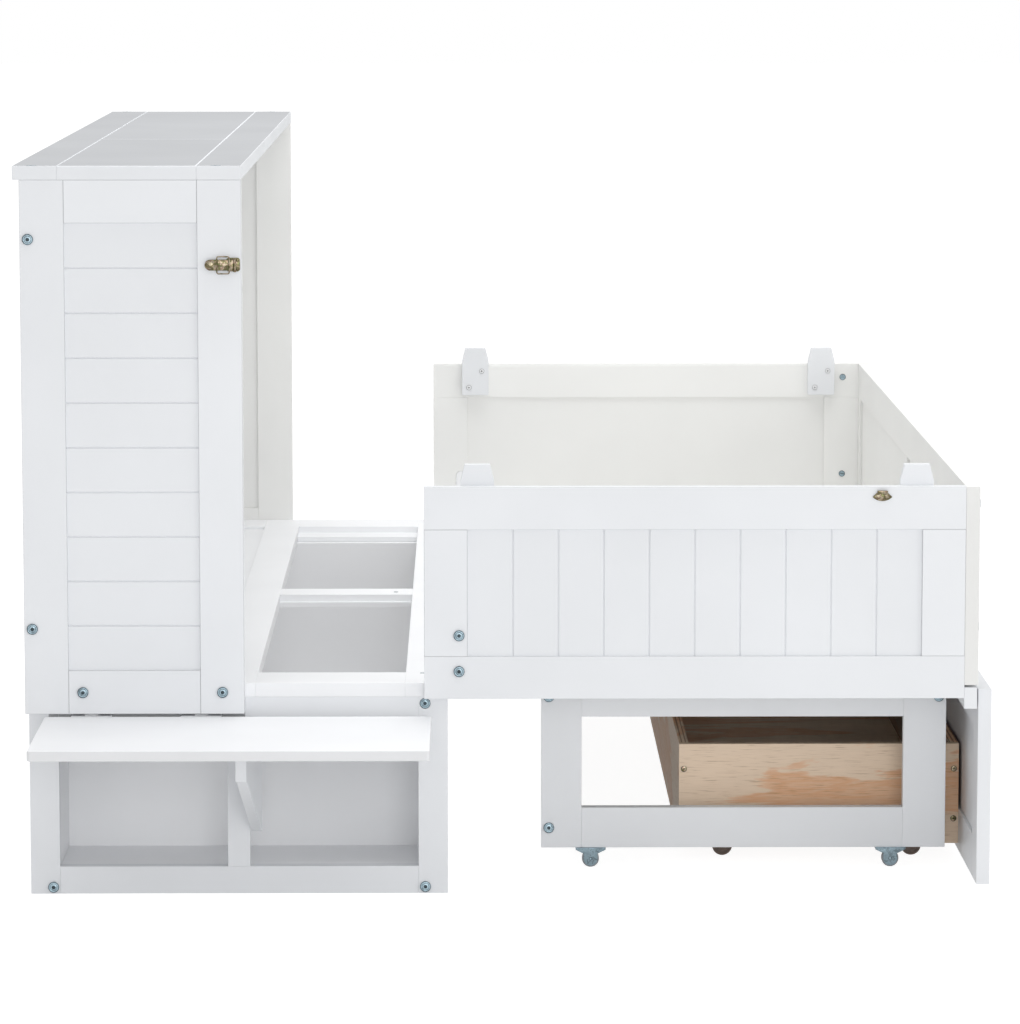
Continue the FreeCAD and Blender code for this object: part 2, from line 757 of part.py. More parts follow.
def make_drawer_wheels():
    """Plain wheels on stub axles, on plates inside the drawer's sides."""
    side = V(0, 1, 0)
    plate_face = drawer_side + wall
    axle_start = plate_face + wheel_bracket
    wheel_start = axle_start + cheek_gap
    cap_start = wheel_start + drawer_wheel_width + cheek_gap
    axle_z = drawer_wheel_radius
    half = wheel_bracket_size / 2
    brackets = []
    for number, x in enumerate(drawer_wheel_places(), start=1):
        plate = slab("xzy", (x - half, x + half),
                     (drawer_floor_height - drawer_box_bottom / 2 - half, drawer_floor_height),
                     (plate_face, axle_start))
        axle = sided_rod(V(x, plate_face, axle_z), side, drawer_axle_radius,
                         cap_start - plate_face)
        cap = sided_rod(V(x, cap_start, axle_z), side, wheel_cap_radius, wheel_cap)
        brackets.append(plate.fuse([axle, cap]).removeSplitter())
        roller = wheel(V(x, wheel_start, axle_z), side, drawer_wheel_radius, drawer_axle_radius,
                       drawer_wheel_width)
        add_ends("drawer_wheel_%d" % number, [roller])
    nodes["drawer_wheel_brackets"] = both(brackets)


def leaf_knuckles(start, direction, length, radius, pin_radius, middle):
    """A hinge's knuckles: the middle one, or the two outer ones with the pin between them."""
    outer = length * knuckle_share
    if middle:
        return [sleeve(start + direction * (outer + turn_play), direction, radius, pin_radius,
                       length - 2 * outer - 2 * turn_play)]
    return [sided_rod(start, direction, radius, outer),
            sided_rod(start + direction * (length - outer), direction, radius, outer),
            sided_rod(start, direction, pin_radius, length)]


def make_flaps():
    """The flap shelves, with hinge leaves under the cabinet sides and on the flaps."""
    back = flap_back
    front = flap_back + flap_length
    outer = flap_inner_edge - flap_depth
    plate = slab("xyz", (back, front), (outer, flap_inner_edge), (flap_bottom, flap_top))
    corners = [edge for edge in plate.Edges
               if edge.BoundBox.XLength < overrun and edge.BoundBox.YLength < overrun
               and edge.BoundBox.YMax < outer + overrun]
    add_ends("flap", [plate.makeFillet(flap_corner, corners)])

    along = V(1, 0, 0)
    fixed = []
    moving = []
    for share in flap_leaf_starts_share:
        start = flap_back + flap_length * share
        end = start + leaf_length
        axis_start = V(start, flap_axis_y, flap_axis_z)
        third = leaf_length * knuckle_share
        arm = (flap_axis_z - leaf / 2, flap_axis_z + leaf / 2)
        arms = [slab("xyz", span, (flap_axis_y, base_face), arm)
                for span in ((start, start + third), (end - third, end))]
        tail = slab("xyz", (start, end), (base_face - leaf, base_face),
                    (flap_axis_z - leaf_drop, flap_axis_z + leaf / 2))
        pins = leaf_knuckles(axis_start, along, leaf_length, knuckle_radius, hinge_pin_radius,
                             False)
        fixed.append(tail.fuse(arms + pins).removeSplitter())
        wing = slab("xyz", (start, end), (flap_axis_y - leaf_reach, flap_axis_y - knuckle_radius
                                          - turn_play), (flap_top, flap_top + leaf))
        bridge = slab("xyz", (start + third + turn_play, end - third - turn_play),
                      (flap_axis_y - leaf_reach, flap_axis_y - hinge_pin_radius - 2 * turn_play),
                      (flap_top, flap_top + leaf))
        middle = leaf_knuckles(axis_start, along, leaf_length, knuckle_radius, hinge_pin_radius,
                               True)
        moving.append(wing.fuse([bridge] + middle).removeSplitter())
    add_ends("flap_leaves", moving)
    nodes["end_hinge_leaves"] = both(fixed)


def make_brackets():
    """Swing brackets that hold the flaps up, on butt hinges at the mid stiles."""
    root = base_face - bracket_face_gap
    tip = root - bracket_reach
    side = bracket_axis_x + bracket_leaf
    pivot = V(bracket_axis_x, bracket_axis_y, 0)
    outline = [(root, bracket_bottom), (root, bracket_top), (tip, bracket_top),
               (tip, bracket_top - bracket_nose_height),
               (tip + bracket_nose_flat, bracket_top - bracket_nose_height)]
    gusset = prism("yzx", outline, side, side + bracket_thickness)
    up = V(0, 0, 1)
    fixed = []
    moving = []
    for share in bracket_leaf_shares:
        low = bracket_bottom + bracket_root_height * share - bracket_leaf_height / 2
        span = (low, low + bracket_leaf_height)
        third = bracket_leaf_height * knuckle_share
        start = V(bracket_axis_x, bracket_axis_y, low)
        plate = slab("xzy", (mid_stile_front, mid_stile_front + bracket_leaf), span,
                     (bracket_axis_y, base_face + bracket_leaf_width))
        gap = slab("xzy", (mid_stile_front - overrun, bracket_axis_x + overrun),
                   (low + third, low + bracket_leaf_height - third),
                   (bracket_axis_y - overrun, bracket_axis_y + 2 * bracket_knuckle_radius))
        pins = leaf_knuckles(start, up, bracket_leaf_height, bracket_knuckle_radius,
                             hinge_pin_radius, False)
        fixed.append(plate.cut(gap).fuse(pins).removeSplitter())
        middle = leaf_knuckles(start, up, bracket_leaf_height, bracket_knuckle_radius,
                               hinge_pin_radius, True)
        wing = slab("xzy", (bracket_axis_x, side),
                    (low + third + turn_play, low + bracket_leaf_height - third - turn_play),
                    (root - bracket_leaf_width,
                     bracket_axis_y - hinge_pin_radius - turn_play))
        moving.append(wing.fuse(middle).removeSplitter())
    add_ends("bracket", [turned(gusset, pivot, up, -bracket_yaw)])
    add_ends("bracket_leaves", [turned(piece, pivot, up, -bracket_yaw) for piece in moving])
    nodes["end_hinge_leaves"] += both(fixed)


def wire(points, radius):
    """A thin wire along straight runs, with mitred corners."""
    first = (points[1] - points[0]).normalize()
    across = V(first.y, first.z, first.x)
    up = first.cross(across)
    section = [points[0] + across * (radius * math.cos(turn)) + up * (radius * math.sin(turn))
               for turn in (2 * math.pi * corner / wire_sides for corner in range(wire_sides))]
    profile = Part.makePolygon(section + section[:1])
    mitred = 1
    return Part.Wire(Part.makePolygon(points)).makePipeShell([profile], True, False, mitred)


def make_latches():
    """Draw latches on the cabinet sides: plate with ears, lever on a pin, and wire bail."""
    up = V(0, 0, 1)
    side = V(0, 1, 0)
    front = cabinet_depth - latch_edge_gap
    pin_y = near_face - lever_stand_off
    half_plate = latch_plate_height / 2
    half_lever = lever_height / 2
    plate = slab("xzy", (front - latch_plate_length, front),
                 (latch_z - half_plate, latch_z + half_plate),
                 (near_face - latch_sheet, near_face))
    ears = []
    for low in (latch_z - half_lever - turn_play - ear_thickness, latch_z + half_lever + turn_play):
        ears.append(slab("xzy", (latch_pin_x - 2 * lever_pin_radius,
                                 latch_pin_x + 2 * lever_pin_radius),
                         (low, low + ear_thickness),
                         (pin_y - 2 * lever_pin_radius, near_face - latch_sheet / 2)))
    reach = half_lever + turn_play + ear_thickness
    pin = sided_rod(V(latch_pin_x, pin_y, latch_z - reach), up, lever_pin_radius, 2 * reach)
    rivet_x = front - 2 * rivet_radius
    rivet_face = near_face - latch_sheet - rivet_head
    rivets = [sided_rod(V(rivet_x, rivet_face, height), side, rivet_radius,
                        rivet_head + latch_sheet / 2)
              for height in (latch_z - half_plate + 2 * rivet_radius,
                             latch_z + half_plate - 2 * rivet_radius)]
    nodes["latch_plates"] = both([plate.fuse(ears + [pin] + rivets).removeSplitter()])

    barrel = sleeve(V(latch_pin_x, pin_y, latch_z - half_lever), up, lever_barrel_radius,
                    lever_pin_radius, lever_height)
    sheet = (pin_y - latch_sheet / 2, pin_y + latch_sheet / 2)
    tail_x = latch_pin_x - lever_length + half_lever
    arm = slab("xzy", (tail_x, latch_pin_x - lever_pin_radius - 2 * turn_play),
               (latch_z - half_lever, latch_z + half_lever), sheet)
    nose = sided_rod(V(tail_x, sheet[0], latch_z), side, half_lever, latch_sheet, wheel_sides)
    bail_y = pin_y - bail_lift
    block = slab("xzy", (bail_pivot_x - 2 * bail_wire_radius, bail_pivot_x + 2 * bail_wire_radius),
                 (latch_z - half_lever, latch_z + half_lever),
                 (bail_y - bail_wire_radius, sheet[1]))
    add_ends("latch_lever", [arm.fuse([nose, barrel, block]).removeSplitter()])

    half_bail = bail_height / 2
    toe = half_lever + turn_play
    far_x = bail_pivot_x - bail_length
    path = [V(bail_pivot_x, bail_y, latch_z + toe), V(bail_pivot_x, bail_y, latch_z + half_bail),
            V(far_x, bail_y, latch_z + half_bail), V(far_x, bail_y, latch_z - half_bail),
            V(bail_pivot_x, bail_y, latch_z - half_bail), V(bail_pivot_x, bail_y, latch_z - toe)]
    add_ends("latch_bail", [wire(path, bail_wire_radius)])


def make_catches():
    """Catch plates on the tray sides, which meet the latches when the tray is closed."""
    centre = hinge_x + latch_z - hinge_z
    top = tray_top - latch_edge_gap
    half = catch_length / 2
    outline = [(centre - half / 2, top - catch_height), (centre + half / 2, top - catch_height),
               (centre + half, top - catch_height / 2), (centre + half, top),
               (centre - half, top), (centre - half, top - catch_height / 2)]
    plate = prism("xzy", outline, tray_face - catch_thickness, tray_face)
    half_tongue = catch_tongue_length / 2
    tongue = slab("xzy", (centre - half_tongue, centre + half_tongue),
                  (top - catch_tongue_height, top),
                  (tray_face - catch_thickness - catch_tongue_proud, tray_face - catch_thickness))
    nodes["latch_catches"] = both([plate.fuse(tongue).removeSplitter()])


def make_root_bolts():
    """Bolts of the cabinet sides, the cabinet top and the base's end frames."""
    side = V(0, 1, 0)
    down = V(0, 0, -1)
    back_x = back_panel_inset + board / 2
    platform_z = base_height + lying_board / 2
    side_seats = [V(back_x, near_face, cabinet_top - cabinet_height * share)
                  for share in back_bolts_share]
    side_seats += [V(cabinet_depth * share, near_face, platform_z) for share in foot_bolts_share]
    wall_x = shelf_wall_inset + board / 2
    low = board / 2
    high = base_height - board / 2
    base_seats = [V(x, base_face, low) for x in (base_back + wall_x, base_front - wall_x)]
    sunk_seats = [V(x, base_face + bolt_head, high)
                  for x in (base_back + wall_x, base_front - wall_x)]
    top_seats = [V(cabinet_depth * share, near_face + board / 2,
                   cabinet_top + lying_board - bolt_head) for share in top_bolts_share]
    top_shank = bolt_shank - board
    bolts = [bolt(seat, side) for seat in side_seats + base_seats + sunk_seats]
    small = [bolt(seat, down, top_shank) for seat in top_seats]
    nodes["root_bolts"] = both(bolts + small)
    holes = [bolt_hole(seat, side) for seat in side_seats + base_seats + sunk_seats]
    holes += [bolt_hole(seat, down, top_shank) for seat in top_seats]
    holes += [head_recess(seat, down) for seat in top_seats]
    holes += [head_recess(seat, side) for seat in sunk_seats]
    drill(["cabinet_side_frame_near", "cabinet_side_frame_far", "cabinet_back", "platform_frame",
           "base_end_frame_near", "base_end_frame_far", "shelf_boxes", "cabinet_top_stiles"],
          both(holes))


def make_tray_bolts():
    """Bolts of the hinge straps and the footboard, and the barrel nuts the latter screw into."""
    side = V(0, 1, 0)
    back = V(-1, 0, 0)
    strap_shank = board - lug_thickness - turn_play
    strap_seats = strap_bolt_seats()
    heights = [tray_bottom + (tray_top - tray_bottom) * share
               for share in footboard_bolt_heights_share]
    end_seats = [V(footboard_front, tray_face + board / 2, height) for height in heights]
    bolts = [bolt(seat, side, strap_shank) for seat in strap_seats]
    bolts += [bolt(seat, back) for seat in end_seats]
    holes = [bolt_hole(seat, side, strap_shank) for seat in strap_seats]
    holes += [bolt_hole(seat, back) for seat in end_seats]
    nut_start = tray_inner_face + nut_proud
    nut_x = footboard_front - bolt_shank
    nuts = [sided_rod(V(nut_x, nut_start, height), V(0, -1, 0), nut_radius, nut_proud)
            for height in heights]
    nodes["tray_connectors"] = both(bolts + nuts)
    drill(["tray_side_frame_near", "tray_side_frame_far", "footboard_frame"], both(holes))


def write_parts():
    """One STEP file for each node, with the origin moved to the middle of the footprint."""
    os.makedirs("parts", exist_ok=True)
    for name, solids in nodes.items():
        shape = Part.makeCompound(solids)
        shape.translate(V(-middle_x, 0, 0))
        shape.exportStep("parts/%s.step" % name)
        print(name, len(shape.Solids), all(solid.isValid() for solid in shape.Solids))


make_base()
make_platform()
make_cabinet()
make_tray()
make_tabs()
make_tray_hinges()
make_support_frame()
make_casters()
make_drawer()
make_drawer_wheels()
make_flaps()
make_brackets()
make_latches()
make_catches()
make_root_bolts()
make_tray_bolts()
write_parts()
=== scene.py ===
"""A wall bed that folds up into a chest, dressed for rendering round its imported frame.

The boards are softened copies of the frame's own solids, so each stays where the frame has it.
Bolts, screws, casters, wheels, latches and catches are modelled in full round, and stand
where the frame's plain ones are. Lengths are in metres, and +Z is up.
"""
import functools
import json
import math

import bmesh
import bpy
from bpy.props import FloatProperty, FloatVectorProperty, IntProperty, PointerProperty
from mathutils import Matrix, Vector

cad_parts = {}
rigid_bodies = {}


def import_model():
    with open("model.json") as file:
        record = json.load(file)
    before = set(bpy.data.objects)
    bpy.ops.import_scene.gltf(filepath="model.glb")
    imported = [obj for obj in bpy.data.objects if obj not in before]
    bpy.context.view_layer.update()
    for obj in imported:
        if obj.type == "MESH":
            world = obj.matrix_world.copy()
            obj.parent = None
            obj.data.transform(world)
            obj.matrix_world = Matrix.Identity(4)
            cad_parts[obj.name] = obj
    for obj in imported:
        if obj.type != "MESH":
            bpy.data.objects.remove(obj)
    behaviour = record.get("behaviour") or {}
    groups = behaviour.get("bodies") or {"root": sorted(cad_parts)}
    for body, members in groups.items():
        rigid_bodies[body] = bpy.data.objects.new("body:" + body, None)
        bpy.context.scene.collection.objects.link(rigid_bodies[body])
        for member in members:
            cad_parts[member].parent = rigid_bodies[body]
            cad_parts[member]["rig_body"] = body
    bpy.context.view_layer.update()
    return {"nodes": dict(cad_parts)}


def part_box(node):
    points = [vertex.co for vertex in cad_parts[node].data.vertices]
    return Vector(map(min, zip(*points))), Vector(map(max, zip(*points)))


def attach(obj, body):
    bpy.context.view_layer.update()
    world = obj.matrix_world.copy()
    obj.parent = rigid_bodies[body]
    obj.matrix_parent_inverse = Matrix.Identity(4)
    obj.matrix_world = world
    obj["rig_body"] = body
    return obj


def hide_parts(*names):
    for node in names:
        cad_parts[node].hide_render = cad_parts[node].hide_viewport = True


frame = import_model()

bl_info = {
    "name": "Wall bed",
    "version": (1, 0, 0),
    "blender": (4, 5, 0),
    "location": "3D View > Sidebar > Wall bed",
    "description": "Builds a fold-up wall bed piece by piece round its frame",
    "category": "Object",
}

MM = 0.001
JOIN = 1e-5                  # points of one solid nearer than this are one point
FLAT = math.radians(1.0)     # faces that differ less than this are one face
CORNER = math.radians(35.0)  # edges sharper than this are rounded
SMOOTH = math.radians(40.0)  # turned and pressed parts are shaded smooth up to this angle
ROUND_SIDES = 48
PIN_SIDES = 24
UP = Vector((0, 0, 1))
TO_FAR = Vector((0, 1, 0))
ENDS = ("near", "far")
MULTIPLY = {"data_type": "RGBA", "blend_type": "MULTIPLY", 0: 1.0}


def linear(hex_colour):
    """The linear red, green and blue of an sRGB hex colour."""
    values = [int(hex_colour[i:i + 2], 16) / 255 for i in (0, 2, 4)]
    return [v / 12.92 if v <= 0.04045 else ((v + 0.055) / 1.055) ** 2.4 for v in values]


def colour(name, description, hex_colour):
    """A colour that the user can change."""
    return FloatVectorProperty(name=name, description=description, default=linear(hex_colour),
                               size=3, min=0, max=1, subtype="COLOR")


def length(name, description, millimetres):
    """A length that the user can change."""
    return FloatProperty(name=name, description=description, default=millimetres * MM, min=0,
                         precision=5, unit="LENGTH")


def number(name, description, value, high, **more):
    """A plain number that the user can change."""
    return FloatProperty(name=name, description=description, default=value, min=0, max=high,
                         **more)


class FinishSettings(bpy.types.PropertyGroup):
    """Colours of the paint, the wood, the metals and the plastics."""
    paint: colour("Paint", "White lacquer of the boards", "E9EBEE")
    # Painted light: a brighter, warmer copy of the same white lacquer for the inner and far faces,
    # which makes up for the light they lack.
    paint_inside: colour("Inner paint", "Slightly warmer lacquer of the inner faces", "F3F3F1")
    # Painted light: the brightest copy of the same white lacquer, which makes up for the shade on
    # the flaps, shelf boxes and platform.
    paint_shelf: colour("Shelf paint", "Bright lacquer of flaps, shelves and platform", "F7F8FA")
    # Painted light: a brighter copy of the lacquer for the chest's top, whose level faces then get
    # a painted shade (TOP_SHADE).
    paint_top: colour("Top paint", "Lacquer of the chest's top, a little greyer", "ECEEF1")
    pine: colour("Pine", "Pale early wood of the drawer's boards", "F3DCC3")
    pine_grain: colour("Pine grain", "Reddish late wood of the drawer's boards", "E6B58D")
    zinc: colour("Zinc", "Blue-passivated zinc of bolts and casters", "8A9CA5")
    yellow_zinc: colour("Yellow zinc", "Yellow-passivated zinc of latches and screws", "857A62")
    caster_plastic: colour("Caster wheel", "Grey nylon of the caster wheels", "8C9196")
    wheel_plastic: colour("Drawer wheel", "Dark brown nylon of the drawer wheels", "64544A")


class BoardSettings(bpy.types.PropertyGroup):
    """How the boards' edges are softened."""
    edge: length("Board edge", "Rounding of the boards' edges", 0.7)
    groove_edge: length("Groove edge", "Rounding of the grooved planks' edges", 0.3)
    small_edge: length("Small edge", "Rounding of sheet metal's edges", 0.25)
    flap_edge: length("Flap edge", "Rounding of the flaps' edges", 1.5)
    segments: IntProperty(name="Edge segments", description="Facets across a rounded edge",
                          default=2, min=1, max=6)


class StageSettings(bpy.types.PropertyGroup):
    """Camera and lamps."""
    camera_place: FloatVectorProperty(name="Camera", description="Where the camera stands",
                                      default=(-0.0554, -7.8863, 1.4381), size=3,
                                      subtype="TRANSLATION", unit="LENGTH")
    camera_turn: number("Turn", "The camera's turn towards +X", 0.0088, 1, subtype="ANGLE")
    camera_tilt: number("Tilt", "The camera's tilt down", 0.1245, 1, subtype="ANGLE")
    focal_length: number("Focal length", "In millimetres, on a 36 mm side", 166.4, 400)
    sky: number("Sky", "Strength of the even light from all round", 0.63, 5)
    front: number("Front lamp", "Power of the low front lamp, in watts", 150.0, 5000)
    side: number("Side lamp", "Power of the front right lamp, in watts", 50.0, 5000)
    overhead: number("Overhead lamp", "Power of the top lamp, in watts", 130.0, 5000)


class WallBedSettings(bpy.types.PropertyGroup):
    """All settings of the bed."""
    finish: PointerProperty(type=FinishSettings)
    boards: PointerProperty(type=BoardSettings)
    stage: PointerProperty(type=StageSettings)


def settings():
    """The bed's settings in this scene."""
    return bpy.context.scene.wall_bed


def new_object(name, data):
    """A new object in the scene."""
    thing = bpy.data.objects.new(name, data)
    bpy.context.scene.collection.objects.link(thing)
    return thing


# Materials

def add_node(tree, kind, values=(), links=(), stops=()):
    """One node with its properties or sockets set, its links, and a ramp's stops.

    A link comes from a socket, or from the first output of a node.
    """
    node = tree.nodes.new(kind)
    for key, value in dict(values).items():
        if isinstance(key, str) and hasattr(node, key):
            setattr(node, key, value)
        else:
            node.inputs[key].default_value = value
    for key, source in dict(links).items():
        if isinstance(source, bpy.types.Node):
            source = source.outputs[0]
        tree.links.new(source, node.inputs[key])
    for row, (place, tone) in enumerate(stops):
        elements = node.color_ramp.elements
        stop = elements[row] if row < 2 else elements.new(place)
        stop.position = place
        stop.color = (*tone, 1)
    return node


def new_material(name):
    """An empty node material, add_node for its tree, and its Object coordinates."""
    finish = bpy.data.materials.new(name)
    finish.use_nodes = True
    finish.node_tree.nodes.clear()
    add = functools.partial(add_node, finish.node_tree)
    return finish, add, add("ShaderNodeTexCoord").outputs["Object"]


def end_material(finish, shader):
    """Joins the shader to the material's output, and gives the material back."""
    add_node(finish.node_tree, "ShaderNodeOutputMaterial", links={"Surface": shader})
    return finish


def shaded(base, share):
    """A colour made darker, or lighter above one, by a share."""
    return [min(1, value * share) for value in base]


def with_painted_shade(add, tone):
    """The tone, darker by its share on each face that carries a shade: painted shade in recesses,
    grooves, joints and undersides, and on faces meant to look less lit.
    """
    shade_of = add("ShaderNodeAttribute", {"attribute_name": "shade"})
    kept = add("ShaderNodeMath", {"operation": "SUBTRACT", 0: 1.0}, {1: shade_of.outputs["Fac"]})
    return add("ShaderNodeMix", MULTIPLY, {6: tone, 7: kept}).outputs[2]


def sprayed_lacquer(name, base, gloss=0.5):
    """White lacquer sprayed on sanded pine: satin, with a faint orange peel and soft clouds.

    The peel's ripples are about 2 mm across and the clouds about 250 mm. Each board has a tone
    of its own, a percent or so lighter or darker, which shows where two boards meet.
    """
    finish, add, place = new_material(name)
    clouds = add("ShaderNodeTexNoise", {"Scale": 4.0, "Detail": 3.0}, {"Vector": place})
    cloud_tone = add("ShaderNodeValToRGB", links={"Fac": clouds},
                     stops=((0.3, shaded(base, 0.965)), (0.7, shaded(base, 1.01))))
    board = add("ShaderNodeAttribute", {"attribute_name": "board_tone"})
    board_tone = add("ShaderNodeValToRGB", links={"Fac": board.outputs["Fac"]},
                     stops=((0.0, (0.975, 0.975, 0.975)), (1.0, (1.0, 1.0, 1.0))))
    tone = add("ShaderNodeMix", MULTIPLY, {6: cloud_tone, 7: board_tone})
    sheen_spots = add("ShaderNodeTexNoise", {"Scale": 35.0, "Detail": 2.0}, {"Vector": place})
    roughness = add("ShaderNodeMapRange", {"To Min": 0.36, "To Max": 0.5}, {"Value": sheen_spots})
    peel = add("ShaderNodeTexNoise", {"Scale": 480.0, "Detail": 1.0}, {"Vector": place})
    relief = add("ShaderNodeBump", {"Strength": 0.06, "Distance": 0.0004}, {"Height": peel})
    return end_material(finish, add(
        "ShaderNodeBsdfPrincipled", {"IOR": 1.47, "Specular IOR Level": gloss},
        {"Base Color": with_painted_shade(add, tone.outputs[2]), "Roughness": roughness, "Normal": relief}))


def rotary_pine(name, pale, along, across, node):
    """Rotary-cut pine plywood, sanded and bare: wide flame figures, short dark pores, five plies.

    The figures are 60 to 300 mm long and their bands 10 to 40 mm wide. The pores are 0.5 mm wide,
    drawn about 1 mm wide so that they show. The plies are 3 mm thick and show on the edges. along
    is the axis that the grain follows, across the thickness, and node has a broad face there.
    """
    dark = list(settings().finish.pine_grain)
    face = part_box(node)[0]["XYZ".index(across)]
    finish, add, place = new_material(name)
    stretch = [0.2 if axis == along else 1.0 for axis in "XYZ"]
    lie = add("ShaderNodeMapping", {"Location": (0.37, 0.1, 0.21), "Scale": stretch},
              {"Vector": place})
    warp = add("ShaderNodeTexNoise", {"Scale": 8.0, "Detail": 6.0, "Roughness": 0.6,
                                      "Distortion": 0.7}, {"Vector": lie})
    bands = add("ShaderNodeMath", {"operation": "MULTIPLY", 1: 2.6}, {0: warp})
    ring = add("ShaderNodeMath", {"operation": "FRACT"}, {0: bands})
    middle = [(a + 2 * b) / 3 for a, b in zip(pale, dark)]
    figure = add("ShaderNodeValToRGB", links={"Fac": ring},
                 stops=((0.0, pale), (1.0, pale), (0.3, shaded(pale, 0.95)),
                        (0.34, middle), (0.4, dark), (0.5, middle), (0.6, dark),
                        (0.63, shaded(pale, 0.97))))
    fine = [0.5 if axis == along else 12.0 for axis in "XYZ"]
    fibre_lie = add("ShaderNodeMapping", {"Scale": fine}, {"Vector": place})
    fibre = add("ShaderNodeTexNoise", {"Scale": 60.0, "Detail": 3.0}, {"Vector": fibre_lie})
    pore = add("ShaderNodeValToRGB", links={"Fac": fibre},
               stops=((0.3, (0.72, 0.66, 0.6)), (0.42, (0.96, 0.95, 0.94)),
                      (0.7, (1.0, 1.0, 1.0))))
    tone = add("ShaderNodeMix", MULTIPLY, {6: figure, 7: pore})
    axes = add("ShaderNodeSeparateXYZ", links={"Vector": place})
    ply = 3 * MM
    turns = math.pi / ply
    ply_turn = add("ShaderNodeMath", {"operation": "MULTIPLY_ADD", 1: turns,
                                      2: -turns * (face + ply / 2)},
                   {0: axes.outputs[across]})
    wave = add("ShaderNodeMath", {"operation": "COSINE"}, {0: ply_turn})
    cross_ply = add("ShaderNodeMath", {"operation": "LESS_THAN", 1: -0.35}, {0: wave})
    board = add("ShaderNodeMix", {**MULTIPLY, 7: (0.55, 0.47, 0.4, 1.0)},
                {0: cross_ply, 6: tone.outputs[2]})
    relief = add("ShaderNodeBump", {"Strength": 0.25, "Distance": 0.0003}, {"Height": fibre})
    return end_material(finish, add(
        "ShaderNodeBsdfPrincipled", {"Roughness": 0.62, "IOR": 1.5},
        {"Base Color": with_painted_shade(add, board.outputs[2]), "Normal": relief}))


def plated_steel(name, base, roughness, *tints):
    """Zinc-plated pressed steel: a bright metal whose passivation drifts in colour.

    The drifts are 5 to 15 mm across. The metal is finely pitted, which spreads its gloss. A tint
    is a share of the base or a colour of its own.
    """
    finish, add, place = new_material(name)
    drift = add("ShaderNodeTexNoise", {"Scale": 160.0, "Detail": 3.0,
                                       "Distortion": 0.6}, {"Vector": place})
    stops = [(0.3, base), (0.7, base)]
    for step, tint in enumerate(tints):
        tone = linear(tint) if isinstance(tint, str) else shaded(base, tint)
        stops.append((0.4 + 0.06 * step, tone))
    tone = add("ShaderNodeValToRGB", links={"Fac": drift}, stops=stops)
    grit = add("ShaderNodeTexNoise", {"Scale": 900.0, "Detail": 2.0}, {"Vector": place})
    gloss = add("ShaderNodeMapRange",
                {"To Min": roughness - 0.08, "To Max": roughness + 0.1}, {"Value": grit})
    relief = add("ShaderNodeBump", {"Strength": 0.12, "Distance": 0.0002}, {"Height": grit})
    return end_material(finish, add(
        "ShaderNodeBsdfPrincipled", {"Metallic": 1.0},
        {"Base Color": with_painted_shade(add, tone.outputs[0]), "Roughness": gloss, "Normal": relief}))


def moulded_nylon(name, base):
    """Injection-moulded nylon: dull, slightly mottled, with a fine spark-eroded texture."""
    finish, add, place = new_material(name)
    mottle = add("ShaderNodeTexNoise", {"Scale": 220.0, "Detail": 3.0}, {"Vector": place})
    tone = add("ShaderNodeValToRGB", links={"Fac": mottle},
               stops=((0.35, shaded(base, 0.82)), (0.65, shaded(base, 1.12))))
    relief = add("ShaderNodeBump", {"Strength": 0.15, "Distance": 0.0002}, {"Height": mottle})
    return end_material(finish, add(
        "ShaderNodeBsdfPrincipled", {"Roughness": 0.48, "IOR": 1.53},
        {"Base Color": tone, "Normal": relief}))


# Each finish: its slot in the record, its maker, its colour setting and what else it takes.
FINISHES = {
    "sprayed_lacquer": ("white_painted_wood", sprayed_lacquer, "paint"),
    # Painted light: a brighter, warmer copy of the lacquer for faces that get less light.
    "sprayed_lacquer_inside": ("white_painted_wood", sprayed_lacquer, "paint_inside"),
    # Painted light: the brightest copy of the lacquer, for the shaded flaps, shelves and platform.
    "sprayed_lacquer_shelf": ("white_painted_wood", sprayed_lacquer, "paint_shelf"),
    # Painted light: a brighter copy of the lacquer for the chest's top, without gloss.
    "sprayed_lacquer_top": ("white_painted_wood", sprayed_lacquer, "paint_top", 0.0),
    "white_enamel": ("white_painted_wood", sprayed_lacquer, "paint_shelf"),
    "rotary_pine_side": ("pine_ply", rotary_pine, "pine", "X", "Y", "drawer_sides"),
    "rotary_pine_end": ("pine_ply", rotary_pine, "pine", "Y", "X", "drawer_ends"),
    "rotary_pine_floor": ("pine_ply", rotary_pine, "pine", "X", "Z", "drawer_bottom"),
    "blue_zinc_steel": ("zinc_steel", plated_steel, "zinc", 0.34, 0.7, 1.35),
    "yellow_zinc_steel": ("yellow_zinc", plated_steel, "yellow_zinc", 0.3,
                          "5E5240", "747B52", "98796E", "ABA38C"),
    "caster_nylon": ("wheel_plastic", moulded_nylon, "caster_plastic"),
    "drawer_wheel_nylon": ("wheel_plastic", moulded_nylon, "wheel_plastic"),
}


def material(name):
    """The named finish, made the first time that a piece asks for it."""
    if name not in bpy.data.materials:
        _, maker, tone, *more = FINISHES[name]
        maker(name, list(getattr(settings().finish, tone)), *more)
    return bpy.data.materials[name]


# Shapes

def solid_sizes(shape):
    """How many faces each closed solid of a CAD copy has. The solids follow each other."""
    waiting = set()
    sizes = [0]
    for face in shape.faces:
        sizes[-1] += 1
        corners = [tuple(round(value / JOIN) for value in vert.co) for vert in face.verts]
        for start, end in zip(corners, corners[1:] + corners[:1]):
            if (end, start) in waiting:
                waiting.remove((end, start))
            else:
                waiting.add((start, end))
        if not waiting:
            sizes.append(0)
    if waiting:
        raise RuntimeError("a solid of the frame isn't closed")
    return sizes[:-1]


